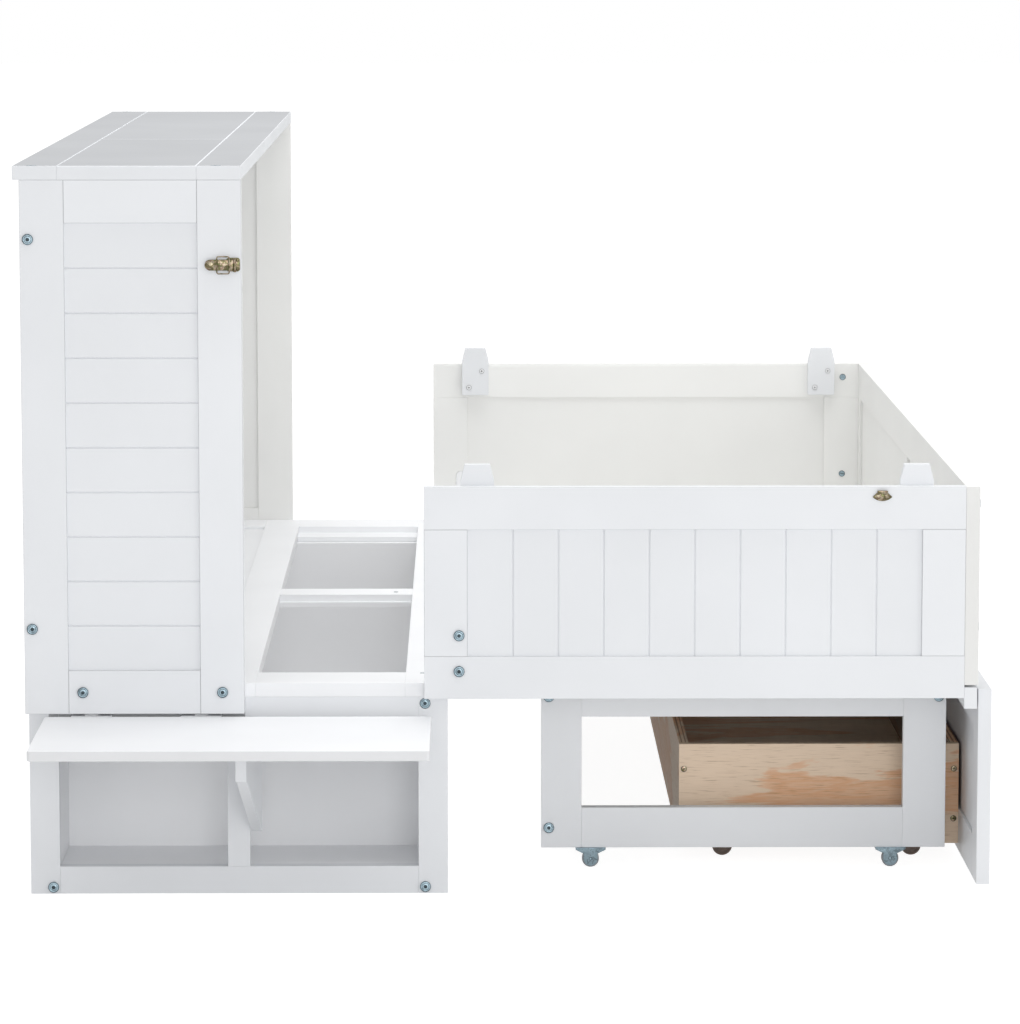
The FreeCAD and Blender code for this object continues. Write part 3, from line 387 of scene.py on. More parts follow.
def solids_of(node):
    """One bmesh for each solid of a CAD node, its points joined and its flat faces whole."""
    mesh = frame["nodes"][node].data
    whole = bmesh.new()
    whole.from_mesh(mesh)
    sizes = solid_sizes(whole)
    whole.free()
    solids = []
    first = 0
    for size in sizes:
        solid = bmesh.new()
        solid.from_mesh(mesh)
        others = solid.faces[:first] + solid.faces[first + size:]
        bmesh.ops.delete(solid, geom=others, context="FACES")
        bmesh.ops.remove_doubles(solid, verts=solid.verts[:], dist=JOIN)
        bmesh.ops.dissolve_limit(solid, angle_limit=FLAT, use_dissolve_boundaries=False,
                                 verts=solid.verts[:], edges=solid.edges[:])
        solids.append(solid)
        first += size
    return solids


def box_of(shape):
    """The lowest and highest corner of a bmesh."""
    return [Vector([pick(vert.co[axis] for vert in shape.verts) for axis in range(3)])
            for pick in (min, max)]


def round_off(shape, edges, width, segments):
    """Rounds some edges of a shape."""
    bmesh.ops.bevel(shape, geom=edges, offset=width, offset_type="OFFSET", affect="EDGES",
                    segments=segments, profile=0.5, material=-1, clamp_overlap=True)


def soften(shape, width):
    """Rounds the sharp edges of a closed shape."""
    edges = [edge for edge in shape.edges
             if edge.is_manifold and edge.calc_face_angle(0.0) > CORNER]
    round_off(shape, edges, width, settings().boards.segments)
    return shape


def joined(shapes):
    """Several bmeshes as one, with each one's tone kept on its faces."""
    whole = bmesh.new()
    tone = whole.faces.layers.float.new("board_tone")
    for row, shape in enumerate(shapes):
        first = len(whole.faces)
        part = bpy.data.meshes.new("part")
        shape.to_mesh(part)
        shape.free()
        whole.from_mesh(part)
        bpy.data.meshes.remove(part)
        whole.faces.ensure_lookup_table()
        for face in whole.faces[first:]:
            face[tone] = (row * 0.618) % 1.0
    return whole


def shade_ready():
    """An empty bmesh whose faces can carry a shade."""
    shape = bmesh.new()
    shape.faces.layers.float.new("shade")
    return shape


def shade(shape, share, test):
    """Marks the faces that pass a test with painted shade, darker by a share."""
    layer = shape.faces.layers.float.get("shade") or shape.faces.layers.float.new("shade")
    for face in shape.faces:
        if test(face):
            face[layer] = share
    return shape


def make_piece(name, shape, body, finish, stands_for=(), smooth=None):
    """A finished piece from a bmesh, which rides on its body and stands for its CAD nodes."""
    mesh = bpy.data.meshes.new(name)
    shape.to_mesh(mesh)
    shape.free()
    mesh.materials.append(material(finish))
    thing = new_object(name, mesh)
    if smooth is not None:
        mesh.shade_smooth()
        mesh.set_sharp_from_angle(angle=smooth)
    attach(thing, body)
    if stands_for:
        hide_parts(*stands_for)
    return thing


def body_of(node):
    """The body that a CAD node rides on."""
    return frame["nodes"][node]["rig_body"]


def soft_boards(node, finish="sprayed_lacquer", width=None, shades=(), reform=None):
    """The node's boards with softened edges, in place of the node.

    shades holds pairs of a share and a test of a face, and reform changes each solid's points.
    """
    solids = solids_of(node)
    for solid in solids:
        if reform:
            reform(solid)
        soften(solid, settings().boards.edge if width is None else width)
    whole = joined(solids)
    for share, test in shades:
        shade(whole, share, test)
    return make_piece(node + "_boards", whole, body_of(node), finish, (node,))


def faces_up(face):
    """Whether a face lies level and looks up."""
    return face.normal.z > 0.995


def faces_near(face):
    """Whether a face looks towards the near end."""
    return face.normal.y < -0.9


def faces_back(face):
    """Whether a face looks towards the wall."""
    return face.normal.x < -0.9


def is_rounding(face):
    """Whether a face is part of a rounded edge."""
    return max(abs(value) for value in face.normal) < 0.985


TOP_SHADE = (0.39, faces_up)       # painted shade: the chest's level top faces are drawn greyer than its sides, as if less lit
JOINT_SHADE = (0.3, is_rounding)  # painted shade: every rounded edge is darker, which draws the joints between boards as shadow lines


def split_boards(node):
    """The node's grooved planks, white at the near end and in the brighter, warmer inside lacquer
    at the far one, with painted shade on the grooves' floors.
    """
    near, far = [], []
    for solid in solids_of(node):
        low, high = box_of(solid)
        soften(solid, settings().boards.groove_edge)
        faces = (low.y, high.y)
        (near if low.y < 0 else far).append(
            # Painted shade: the floors of the grooves are darker by 0.12.
            shade(solid, 0.12, lambda face: abs(face.normal.y) > 0.9 and all(
                abs(face.calc_center_median().y - y) > 0.5 * MM for y in faces)))
    body = body_of(node)
    make_piece(node + "_near_boards", joined(near), body, "sprayed_lacquer", (node,))
    make_piece(node + "_far_boards", joined(far), body, "sprayed_lacquer_inside")


def moved(shape, offset):
    """The shape, shifted."""
    bmesh.ops.translate(shape, verts=shape.verts[:], vec=offset)
    return shape


def placed(shape, matrix):
    """The shape, turned and shifted by a matrix."""
    bmesh.ops.transform(shape, matrix=matrix, verts=shape.verts[:])
    return shape


def sharp_block(low, high):
    """A block between two corners."""
    shape = bmesh.new()
    bmesh.ops.create_cube(shape, size=1.0)
    bmesh.ops.scale(shape, vec=Vector(high) - Vector(low), verts=shape.verts[:])
    return moved(shape, (Vector(low) + Vector(high)) / 2)


def block(low, high, width):
    """A small block between two corners, with softened edges."""
    return soften(sharp_block(low, high), width)


def flap_board(low, high, edge):
    """An end flap: a flat board, its two outer corners turned and all its edges eased."""
    shape = sharp_block(low, high)
    outer = max(abs(low.y), abs(high.y))
    corners = [item for item in shape.edges
               if all(abs(abs(vert.co.y) - outer) < JOIN for vert in item.verts)
               and abs(item.verts[0].co.x - item.verts[1].co.x) < JOIN]
    round_off(shape, corners, 5.0 * MM, 5)
    soften(shape, edge)
    # Painted shade: the flap's edges and underside are darker by 0.16 than its top.
    return shade(shape, 0.16, lambda face: face.normal.z < 0.5)


def new_round(shape, radius, height, sides=ROUND_SIDES):
    """A closed cylinder whose top lies at zero. Returns its upper face."""
    made = bmesh.ops.create_cone(shape, cap_ends=True, cap_tris=False, segments=sides,
                                 radius1=radius, radius2=radius, depth=height)
    bmesh.ops.translate(shape, verts=made["verts"], vec=(0, 0, -height / 2))
    faces = {face for vert in made["verts"] for face in vert.link_faces}
    return max(faces, key=lambda face: face.calc_center_median().z)


def step_in(shape, face, *steps):
    """Insets a face by each step's first number and raises it by its second, in millimetres."""
    for inward, upward in steps:
        bmesh.ops.inset_individual(shape, faces=[face], thickness=inward * MM, depth=upward * MM)


def reshape(face, outline):
    """Moves a round face's points on to an outline, given as a radius for each direction."""
    for vert in face.verts:
        turn = math.atan2(vert.co.y, vert.co.x)
        radius = outline(turn)
        vert.co.x = radius * math.cos(turn)
        vert.co.y = radius * math.sin(turn)


def hexagon_outline(corner):
    """The radius of a hexagon in each direction, from its corner radius."""
    sixth = math.pi / 3
    return lambda turn: (corner * math.cos(sixth / 2) / math.cos((turn % sixth) - sixth / 2))


def cross_outline(reach, half_width):
    """The radius of a cross recess in each direction."""
    quarter = math.pi / 2

    def radius(turn):
        off = abs((turn + quarter / 2) % quarter - quarter / 2)
        arm = half_width / max(math.sin(off), 1e-6)
        return min(reach, max(arm, half_width * math.sqrt(2)))
    return radius


def slot_outline(reach, half_width):
    """The radius of a straight slot in each direction."""
    return lambda turn: min(reach / max(abs(math.cos(turn)), 1e-6),
                            half_width / max(abs(math.sin(turn)), 1e-6))


def shade_recess(shape, crown, radius):
    """Paints shade into a recess in a crown: its floor, and its walls nearer the middle than a
    radius.
    """
    return shade(shape, 0.85, lambda face: face == crown or (
        abs(face.normal.z) < 0.1 and face.calc_center_median().xy.length < radius))


def socket_bolt(radius, height):
    """A low connector bolt: rounded rim, flat crown with a ring groove, and hexagon socket."""
    shape = shade_ready()
    crown = new_round(shape, radius, height)
    step_in(shape, crown, (0.0, -1.0), (0.5, 0.6), (0.9, 0.4))
    # Painted shade: the rim's sides are darker by 0.22, the ring groove by 0.38 and the socket by
    # 0.85.
    shade(shape, 0.22, lambda face: face.normal.z < 0.95)
    step_in(shape, crown, (0.9, 0.0))
    groove = len(shape.faces)
    step_in(shape, crown, (0.5, -0.3), (0.4, 0.3))
    shape.faces.ensure_lookup_table()
    rings = set(shape.faces[groove:])
    shade(shape, 0.38, lambda face: face in rings)
    step_in(shape, crown, (0.4, 0.0))
    reshape(crown, hexagon_outline(3.0 * MM))
    step_in(shape, crown, (0.0, -1.7))
    return shade_recess(shape, crown, 3.5 * MM)


def cross_screw(radius, height):
    """A small countersunk screw: flat head with a rounded rim and a cross recess."""
    shape = shade_ready()
    crown = new_round(shape, radius, height)
    step_in(shape, crown, (0.0, -0.4), (0.7, 0.4))
    # Painted shade: the rim is darker by 0.65 and the cross recess by 0.85.
    shade(shape, 0.65, lambda face: face != crown)
    step_in(shape, crown, (radius / 4 / MM, -0.05))
    reshape(crown, cross_outline(2.1 * MM, 0.55 * MM))
    step_in(shape, crown, (0.0, -0.9))
    return shade_recess(shape, crown, 2.3 * MM)


def slotted_nut(radius, height):
    """The end of a barrel nut, sunk in its hole: a rim with a painted shadow from its hole, and a
    disc with a slot whose floor has painted shade.
    """
    shape = shade_ready()
    crown = new_round(shape, radius, height)
    step_in(shape, crown, (0.9, -0.15))
    shade(shape, 0.8, lambda face: face != crown)
    step_in(shape, crown, (0.9, 0.1))
    reshape(crown, slot_outline(3.4 * MM, 0.6 * MM))
    step_in(shape, crown, (0.0, -0.5))
    return shade(shape, 0.6, lambda face: face == crown)


def turned_to(direction, place):
    """The matrix that stands a shape's +Z along a direction at a place."""
    turn = Vector(direction).to_track_quat("Z", "Y").to_matrix().to_4x4()
    return Matrix.Translation(place) @ turn


def scattered(pattern, places):
    """One bmesh with a copy of the pattern at each place."""
    mesh = bpy.data.meshes.new("pattern")
    pattern.to_mesh(mesh)
    pattern.free()
    whole = bmesh.new()
    for place in places:
        first = len(whole.verts)
        whole.from_mesh(mesh)
        whole.verts.ensure_lookup_table()
        bmesh.ops.transform(whole, matrix=place, verts=whole.verts[first:])
    bpy.data.meshes.remove(mesh)
    return whole


def head_place(solid):
    """Where the crown of a CAD bolt or screw is, which way it looks, and its head's radius."""
    low, high = box_of(solid)
    size = high - low
    crown = (low + high) / 2
    along = max(range(3), key=lambda axis: size[axis])
    wide = max({0, 1, 2} - {along}, key=lambda axis: size[axis])
    rim = max(solid.verts, key=lambda vert: abs(vert.co[wide] - crown[wide]))
    outward = Vector((0, 0, 0))
    outward[along] = 1.0 if rim.co[along] > crown[along] else -1.0
    crown[along] = (high if outward[along] > 0 else low)[along]
    return crown, outward, size[wide] / 2


def fasteners(node):
    """The crowns of a node's bolts and screws, and its flat nuts apart."""
    crowns = []
    nuts = []
    for solid in solids_of(node):
        low, high = box_of(solid)
        size = high - low
        if max(size) < 12 * MM and size.y < 2 * MM:
            inward = -1.0 if low.y > 0 else 1.0
            middle = (low + high) / 2
            middle.y = high.y if inward > 0 else low.y
            nuts.append((middle, TO_FAR * inward))
        else:
            crowns.append(head_place(solid))
        solid.free()
    return crowns, nuts


def new_verts(made):
    """The points that an operator made."""
    return [item for item in made if isinstance(item, bmesh.types.BMVert)]


def outline_sheet(start, steps, thickness, width):
    """A closed sheet standing in X and Z, from straight runs and arcs, thick along +Y.

    A step of two numbers is a corner to run to. A step of three is an arc: the place of its
    centre, and the degrees that it turns, from X towards Z. width softens its edges.
    """
    shape = bmesh.new()
    first = last = shape.verts.new((start[0], 0, start[1]))
    for x, z, *turn in steps:
        if turn:
            arc = bmesh.ops.spin(shape, geom=[last], cent=(x, 0, z), axis=(0, -1, 0),
                                 angle=math.radians(turn[0]), steps=PIN_SIDES // 2)
            last = new_verts(arc["geom_last"])[0]
        else:
            corner = shape.verts.new((x, 0, z))
            shape.edges.new((last, corner))
            last = corner
    shape.edges.new((last, first))
    bmesh.ops.remove_doubles(shape, verts=shape.verts[:], dist=JOIN)
    bmesh.ops.contextual_create(shape, geom=shape.edges[:])
    made = bmesh.ops.extrude_face_region(shape, geom=shape.faces[:])
    bmesh.ops.translate(shape, verts=new_verts(made["geom"]), vec=(0, thickness, 0))
    bmesh.ops.recalc_face_normals(shape, faces=shape.faces[:])
    return soften(shape, width)


def pin(start, direction, radius, reach, rim=0.15 * MM):
    """A round pin from a point along a direction, with softened rims."""
    shape = bmesh.new()
    new_round(shape, radius, reach, PIN_SIDES)
    rims = [edge for edge in shape.edges if abs(edge.verts[0].co.z - edge.verts[1].co.z) < JOIN]
    round_off(shape, rims, min(rim, radius / 3), 2)
    return placed(shape, turned_to(-Vector(direction), Vector(start)))


def bent_wire(start, direction, radius, steps):
    """A round wire: straight runs of a length, and bends of degrees and radius about an axis."""
    shape = bmesh.new()
    ring = bmesh.ops.create_circle(shape, cap_ends=False, segments=12, radius=radius)["verts"]
    bmesh.ops.transform(shape, matrix=turned_to(direction, Vector(start)), verts=ring)
    rim = list({edge for vert in ring for edge in vert.link_edges})
    bmesh.ops.contextual_create(shape, geom=rim)
    heading = Vector(direction).normalized()
    centre = Vector(start)
    for step in steps:
        if len(step) == 1:
            made = bmesh.ops.extrude_edge_only(shape, edges=rim)["geom"]
            fresh = new_verts(made)
            rim = [item for item in made if isinstance(item, bmesh.types.BMEdge)
                   and all(vert in fresh for vert in item.verts)]
            bmesh.ops.translate(shape, verts=fresh, vec=heading * step[0])
            centre = centre + heading * step[0]
        else:
            degrees, bend, axis = step
            axis = Vector(axis)
            hub = centre + axis.cross(heading) * math.copysign(1, degrees) * bend
            made = bmesh.ops.spin(shape, geom=rim, cent=hub, axis=axis,
                                  angle=math.radians(degrees), steps=6)
            rim = [item for item in made["geom_last"] if isinstance(item, bmesh.types.BMEdge)]
            turn = Matrix.Rotation(math.radians(degrees), 3, axis)
            centre = hub + turn @ (centre - hub)
            heading = turn @ heading
    bmesh.ops.contextual_create(shape, geom=rim)
    bmesh.ops.recalc_face_normals(shape, faces=shape.faces[:])
    return shape


def roller(radius, width, bore, rim):
    """A moulded wheel along Z between zero and -width: round tread, sunk web, hub and bore."""
    shape = bmesh.new()
    upper = new_round(shape, radius, width)
    lower = min(shape.faces, key=lambda face: face.calc_center_median().z)
    round_off(shape, [edge for face in (upper, lower) for edge in face.edges], rim, 4)
    faces = sorted(shape.faces, key=lambda face: face.calc_center_median().z)
    hub = 2.2  # the hub's wall, and the steps below, are in millimetres
    web = (radius - rim - bore) / MM - 1.8 - hub
    loops = []
    for face in (faces[0], faces[-1]):
        step_in(shape, face, (1.8, 0.0), (0.3, -1.6), (web - 0.6, 0.0), (0.3, 1.4), (hub, 0.0))
        loops += list(face.edges)
        bmesh.ops.delete(shape, geom=[face], context="FACES_ONLY")
    bmesh.ops.bridge_loops(shape, edges=loops)
    bmesh.ops.recalc_face_normals(shape, faces=shape.faces[:])
    return shape


def far_copy(shape):
    """The same shape at the far end."""
    copy = shape.copy()
    bmesh.ops.scale(copy, vec=(1, -1, 1), verts=copy.verts[:])
    bmesh.ops.reverse_faces(copy, faces=copy.faces[:])
    return copy


def near_and_far(name, near, bodies, finish, nodes):
    """The near piece and its far copy, each on its own body in place of its own node."""
    far = far_copy(near)
    make_piece(name + "_near", near, bodies[0], finish, nodes[:1], SMOOTH)
    make_piece(name + "_far", far, bodies[1], finish, nodes[1:], SMOOTH)


# Operators

class BaseBuild(bpy.types.Operator):
    """Ends, shelf boxes and back rail of the low base"""
    bl_idname = "wallbed.base"
    bl_label = "Base"

    def execute(self, context):
        low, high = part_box("flap_near")
        start = Vector((low.x + 4 * MM, 0, 0))
        gap = Vector((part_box("cabinet_side_frame_near")[1].x, 0, high.z - 8 * MM))

        def cut_gap(solid):
            """Cuts the strip apart that faces the gap between the flap and the cabinet, where a
            shadow is painted.
            """
            for place, direction in ((start, (1, 0, 0)), (gap, (1, 0, 0)), (gap, UP)):
                parts = solid.verts[:] + solid.edges[:] + solid.faces[:]
                bmesh.ops.bisect_plane(solid, geom=parts, plane_co=place, plane_no=direction)

        def in_gap(face):
            """Whether a face looks outwards into that gap, and gets its painted shadow."""
            centre = face.calc_center_median()
            return face.normal.y * centre.y > 0.9 * abs(centre.y) and (
                start.x < centre.x < gap.x and centre.z > gap.z)

        for end in ENDS:
            # Painted shadow: the strip in the gap under the cabinet's side is darker by 0.6.
            soft_boards("base_end_frame_" + end, shades=((0.6, in_gap),), reform=cut_gap)
        soft_boards("shelf_boxes", "sprayed_lacquer_shelf")
        soft_boards("base_back_rail")
        return {"FINISHED"}


class PlatformBuild(bpy.types.Operator):
    """Stiles, rails and sunk panel that lie on the base"""
    bl_idname = "wallbed.platform"
    bl_label = "Platform"

    def execute(self, context):
        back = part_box("platform_panel")[1].y
        boxes = [box_of(solid) for solid in solids_of("shelf_boxes")]
        box_back = 0.4 * MM + max(high.y for low, high in boxes
                                  if high.x - low.x > 0.5 and high.y - low.y < 16 * MM)

        def widen_ledge(solid):
            """Carries the end ledges on over the shelf boxes' backs, which hides the boxes."""
            for vert in solid.verts:
                if back - 12 * MM < abs(vert.co.y) < back - 3 * MM:
                    vert.co.y = math.copysign(box_back, vert.co.y)

        soft_boards("platform_frame", "sprayed_lacquer_shelf", reform=widen_ledge)
        soft_boards("platform_panel", "sprayed_lacquer_shelf")
        return {"FINISHED"}


class CabinetBuild(bpy.types.Operator):
    """Sides, back and top of the tall shallow cabinet"""
    bl_idname = "wallbed.cabinet"
    bl_label = "Cabinet"

    def execute(self, context):
        soft_boards("cabinet_side_frame_near", shades=(JOINT_SHADE,))
        soft_boards("cabinet_side_frame_far", "sprayed_lacquer_inside")
        split_boards("cabinet_side_planks")
        soft_boards("cabinet_back", "sprayed_lacquer_inside")
        soft_boards("cabinet_top_stiles", "sprayed_lacquer_top", shades=(TOP_SHADE,))
        soft_boards("cabinet_top_panels", "sprayed_lacquer_top", shades=(TOP_SHADE,))
        return {"FINISHED"}


class TrayBuild(bpy.types.Operator):
    """Sides, floor, footboard, pull rail and tabs of the folding tray"""
    bl_idname = "wallbed.tray"
    bl_label = "Tray"

    def execute(self, context):
        soft_boards("tray_side_frame_near", shades=(JOINT_SHADE,))
        soft_boards("tray_side_frame_far", "sprayed_lacquer_inside")
        split_boards("tray_side_planks")
        soft_boards("tray_floor_frame", "sprayed_lacquer_inside")
        soft_boards("tray_panels", "sprayed_lacquer_inside")
        # Painted shade: the footboard's faces that look to the near end are darker by 0.1.
        soft_boards("footboard_frame", "sprayed_lacquer_inside", shades=((0.1, faces_near),))
        soft_boards("pull_rail")
        soft_boards("alignment_tabs")
        return {"FINISHED"}


class SupportBuild(bpy.types.Operator):
    """The open frame that carries the tray"""
    bl_idname = "wallbed.support"
    bl_label = "Support frame"

    def execute(self, context):
        for end in ENDS:
            soft_boards("support_side_" + end)
        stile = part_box("support_side_near")[0].x

        def set_back(solid):
            """Sets the back rails further behind the stiles, which hide them in the photo."""
            if box_of(solid)[0].x < stile + 0.1:
                moved(solid, (24 * MM, 0, 0))

        soft_boards("support_cross_rails", reform=set_back)
        return {"FINISHED"}


class DrawerBuild(bpy.types.Operator):
    """The pine drawer and its white front"""
    bl_idname = "wallbed.drawer"
    bl_label = "Drawer"

    def execute(self, context):
        low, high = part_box("drawer_ends")
        middle = (low + high) / 2

        def far_inner(face):
            """Whether a face looks in from the far side."""
            return faces_near(face) and face.calc_center_median().y > middle.y

        def front_inner(face):
            """Whether a face looks in from the front."""
            return faces_back(face) and face.calc_center_median().x > middle.x

        # Painted shade: the inner faces of the far side and of the front are darker, as in the
        # tray's shadow; every face that looks towards the wall is darker by 0.38.
        soft_boards("drawer_sides", "rotary_pine_side", shades=((0.58, far_inner),))
        soft_boards("drawer_ends", "rotary_pine_end",
                    shades=((0.38, faces_back), (0.65, front_inner)))
        soft_boards("drawer_bottom", "rotary_pine_floor")
        soft_boards("drawer_front_frame")
        soft_boards("drawer_front_panels")
        return {"FINISHED"}


class FlapBuild(bpy.types.Operator):
    """The end flaps, their swing brackets and their hinges"""
    bl_idname = "wallbed.flaps"
    bl_label = "Flaps"

    def execute(self, context):
        edge = settings().boards
        flap_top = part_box("flap_near")[1].z

        def flatten(solid):
            """Presses the knuckles into the gap under the cabinet's side."""
            for vert in solid.verts:
                if vert.co.z > flap_top:
                    vert.co.z = flap_top + 0.06 * (vert.co.z - flap_top)

        for end in ENDS:
            low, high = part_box("flap_" + end)
            make_piece("flap_%s_board" % end, flap_board(low, high, edge.flap_edge),
                       body_of("flap_" + end), "sprayed_lacquer_shelf", ("flap_" + end,))
            soft_boards("bracket_" + end)
            soft_boards("flap_leaves_" + end, "white_enamel", edge.small_edge / 2, reform=flatten)
            soft_boards("bracket_leaves_" + end, "white_enamel", edge.small_edge)
        soft_boards("end_hinge_leaves", "white_enamel", edge.small_edge / 2, reform=flatten)
        return {"FINISHED"}


class TrayHingeBuild(bpy.types.Operator):
    """Lugs and straps that the tray turns on"""
    bl_idname = "wallbed.tray_hinges"
    bl_label = "Tray hinges"

    def execute(self, context):
        for node in ("tray_hinge_lugs", "tray_hinge_straps"):
            soft_boards(node, "white_enamel", settings().boards.small_edge)
        return {"FINISHED"}


def hanger(half, root, shoulder, foot, waist, axle, thickness, width):
    """A sheet that hangs from a wide root and narrows to a round foot about an axle."""
    steps = [(half, shoulder), (foot, waist), (foot, axle), (0, axle, -180), (-foot, waist),
             (-half, shoulder), (-half, root)]
    return outline_sheet((half, root), steps, thickness, width)


def caster_fork(low, high, axle):
    """A pressed fork: plate, two cheeks with sloping shoulders and round ends, and a rivet axle."""
    plate = 2.0 * MM
    sheet = 1.6 * MM
    inner = 6.8 * MM  # half the gap between the cheeks
    middle = (low + high) / 2
    half = (high.x - low.x) / 2
    parts = [block((low.x, low.y, high.z - plate), high, 0.5 * MM)]
    for side in (-1, 1):
        cheek = hanger(half, high.z - 0.2 * MM, high.z - 4 * MM, 10.6 * MM, high.z - 10 * MM,
                       axle, sheet, 0.2 * MM)
        shift = -inner - sheet if side < 0 else inner
        parts.append(moved(cheek, (middle.x, middle.y + shift, 0)))
        face = Vector((middle.x, middle.y + side * (inner + sheet + 1.0 * MM), axle))
        parts.append(pin(face, -side * TO_FAR, 2.6 * MM, 1.2 * MM, 0.8 * MM))
    parts.append(pin((middle.x, middle.y - inner - sheet, axle), TO_FAR, 2.4 * MM,
                     2 * (inner + sheet)))
    for x in (-1, 1):
        for y in (-1, 1):
            spot = (middle.x + x * 0.8 * half, middle.y + y * 9.0 * MM, high.z - plate - 0.8 * MM)
            parts.append(pin(spot, UP, 2.6 * MM, 1.0 * MM, 0.4 * MM))
    return parts


def wheel_pieces(kind, finish, bore):
    """Moulded wheels in place of the four plain ones of a kind."""
    for node in ["%s_wheel_%d_%s" % (kind, row, end) for row in (1, 2) for end in ENDS]:
        low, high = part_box(node)
        shape = roller((high.z - low.z) / 2, high.y - low.y, bore, 1.6 * MM)
        place = Vector(((low.x + high.x) / 2, high.y, (low.z + high.z) / 2))
        make_piece(node + "_roller", placed(shape, turned_to(TO_FAR, place)), body_of(node),
                   finish, (node,), SMOOTH)


class CasterBuild(bpy.types.Operator):
    """The support frame's casters: pressed forks and nylon wheels"""
    bl_idname = "wallbed.casters"
    bl_label = "Casters"

    def execute(self, context):
        parts = []
        places = []
        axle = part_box("caster_wheel_1_near")[1].z / 2
        for solid in solids_of("caster_brackets"):
            low, high = box_of(solid)
            solid.free()
            places.append(Vector(((low.x + high.x) / 2, axle)))
            parts += caster_fork(low, high, axle)

        def round_axle(face):
            """Whether a face is in the ring round an axle's end, which is painted dark as shade."""
            return any(1.5 * MM < (face.calc_center_median().xz - place).length < 3.0 * MM
                       for place in places)

        # Painted shade: every fork face that doesn't look up is darker by 0.38, and the ring round
        # each axle's end by 0.85.
        forks = shade(joined(parts), 0.38, lambda face: face.normal.z < 0.5)
        make_piece("caster_forks", shade(forks, 0.85, round_axle), "support_frame",
                   "blue_zinc_steel", ("caster_brackets",), SMOOTH)
        wheel_pieces("caster", "caster_nylon", 2.8 * MM)
        return {"FINISHED"}


def wheel_plate(low, high, axle):
    """The moulded plate that holds a drawer wheel: wide top, round foot, axle and its cap."""
    middle = (low.x + high.x) / 2
    half = (high.x - low.x) / 2
    plate = hanger(half, high.z, high.z - 8 * MM, axle - low.z, axle + 3 * MM, axle, 2.0 * MM,
                   0.3 * MM)
    end = high.y - 1.5 * MM
    return [moved(plate, (middle, low.y, 0)),
            pin((middle, low.y + 0.5 * MM, axle), TO_FAR, 3.0 * MM, end - low.y),
            pin((middle, end, axle), TO_FAR, 5.0 * MM, 1.5 * MM, 0.5 * MM)]


class DrawerWheelBuild(bpy.types.Operator):
    """The drawer's moulded wheels and their plates"""
    bl_idname = "wallbed.drawer_wheels"
    bl_label = "Drawer wheels"

    def execute(self, context):
        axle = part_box("drawer_wheel_1_near")[1].z / 2
        parts = []
        for solid in solids_of("drawer_wheel_brackets"):
            low, high = box_of(solid)
            solid.free()
            if low.y < 0:
                parts += wheel_plate(low, high, axle)
        near_and_far("drawer_wheel_plates", joined(parts), ("drawer", "drawer"),
                     "drawer_wheel_nylon", ("drawer_wheel_brackets",))
        wheel_pieces("drawer", "drawer_wheel_nylon", 3.3 * MM)
        return {"FINISHED"}


LEVER_HALF = 8.0 * MM   # half the width of a latch lever, which also rounds its nose
PIN_OUT = 4.4 * MM      # how far a lever's pin stands out from the cabinet's side
BAIL_BACK = 8.0 * MM    # from a lever's pin to its bail's pivot


def latch_base(pin_x, front, height, face):
    """The plate with two ears round the lever's pin, and two dome rivets."""
    sheet = 1.6 * MM
    back = front - 20 * MM
    low, high = height - 9.5 * MM, height + 10.5 * MM
    corner = 4.0 * MM
    inner_back, inner_front = back + corner, front - corner
    inner_low, inner_high = low + corner, high - corner
    steps = [(inner_front, low), (inner_front, inner_low, 90), (front, inner_high),
             (inner_front, inner_high, 90), (inner_back, high), (inner_back, inner_high, 90),
             (back, inner_low), (inner_back, inner_low, 90)]
    plate = outline_sheet((inner_back, low), steps, sheet, 0.25 * MM)
    parts = [moved(plate, (0, face - sheet, 0))]
    pin_y = face - PIN_OUT
    ear = 2.4 * MM
    side = LEVER_HALF + 0.3 * MM
    for low_z in (height - side - sheet, height + side):
        parts.append(block((pin_x - ear, pin_y - ear, low_z),
                           (pin_x + ear, face - sheet / 2, low_z + sheet), 0.5 * MM))
    reach = side + sheet + 0.5 * MM
    parts.append(pin((pin_x, pin_y, height - reach), UP, 1.2 * MM, 2 * reach))
    inset = 3.6 * MM
    for z in (low + inset, high - inset):
        parts.append(pin((front - inset, face - sheet - 1.0 * MM, z), TO_FAR, 2.2 * MM,
                         1.4 * MM, 0.6 * MM))
    return parts


def latch_lever(pin_x, tail, height, face):
    """The lever: a channel with a round nose, a rolled barrel and the bail's cross hole."""
    sheet = 1.4 * MM
    pin_y = face - PIN_OUT
    root = pin_x - 1.8 * MM
    low = height - LEVER_HALF
    steps = [(root, height + LEVER_HALF), (tail, height + LEVER_HALF), (tail, height, 180)]
    skin = outline_sheet((root, low), steps, sheet, 0.3 * MM)
    boss = bmesh.new()
    crown = new_round(boss, 7.2 * MM, 1.2 * MM)
    step_in(boss, crown, (0.8, 0.5), (1.2, 0.5), (1.6, 0.35))
    place = turned_to(-TO_FAR, Vector((tail, pin_y - sheet / 2 - 0.4 * MM, height)))
    parts = [moved(skin, (0, pin_y - sheet / 2, 0)), placed(boss, place)]
    for side in (-1, 1):
        edge = height + side * LEVER_HALF
        z = sorted((edge, edge - side * 1.2 * MM))
        parts.append(block((tail + 1 * MM, pin_y, z[0]), (root, pin_y + 2.6 * MM, z[1]), 0.3 * MM))
    pivot = pin_x - BAIL_BACK
    parts.append(pin((pin_x, pin_y, low), UP, 2.2 * MM, 2 * LEVER_HALF))
    parts.append(pin((pivot, pin_y - 2.2 * MM, low), UP, 1.8 * MM, 2 * LEVER_HALF))
    parts.append(block((tail + 7 * MM, pin_y - 1.5 * MM, height - 2.5 * MM),
                       (pivot - 3 * MM, pin_y - 0.5 * MM, height + 2.5 * MM), 0.45 * MM))
    return parts


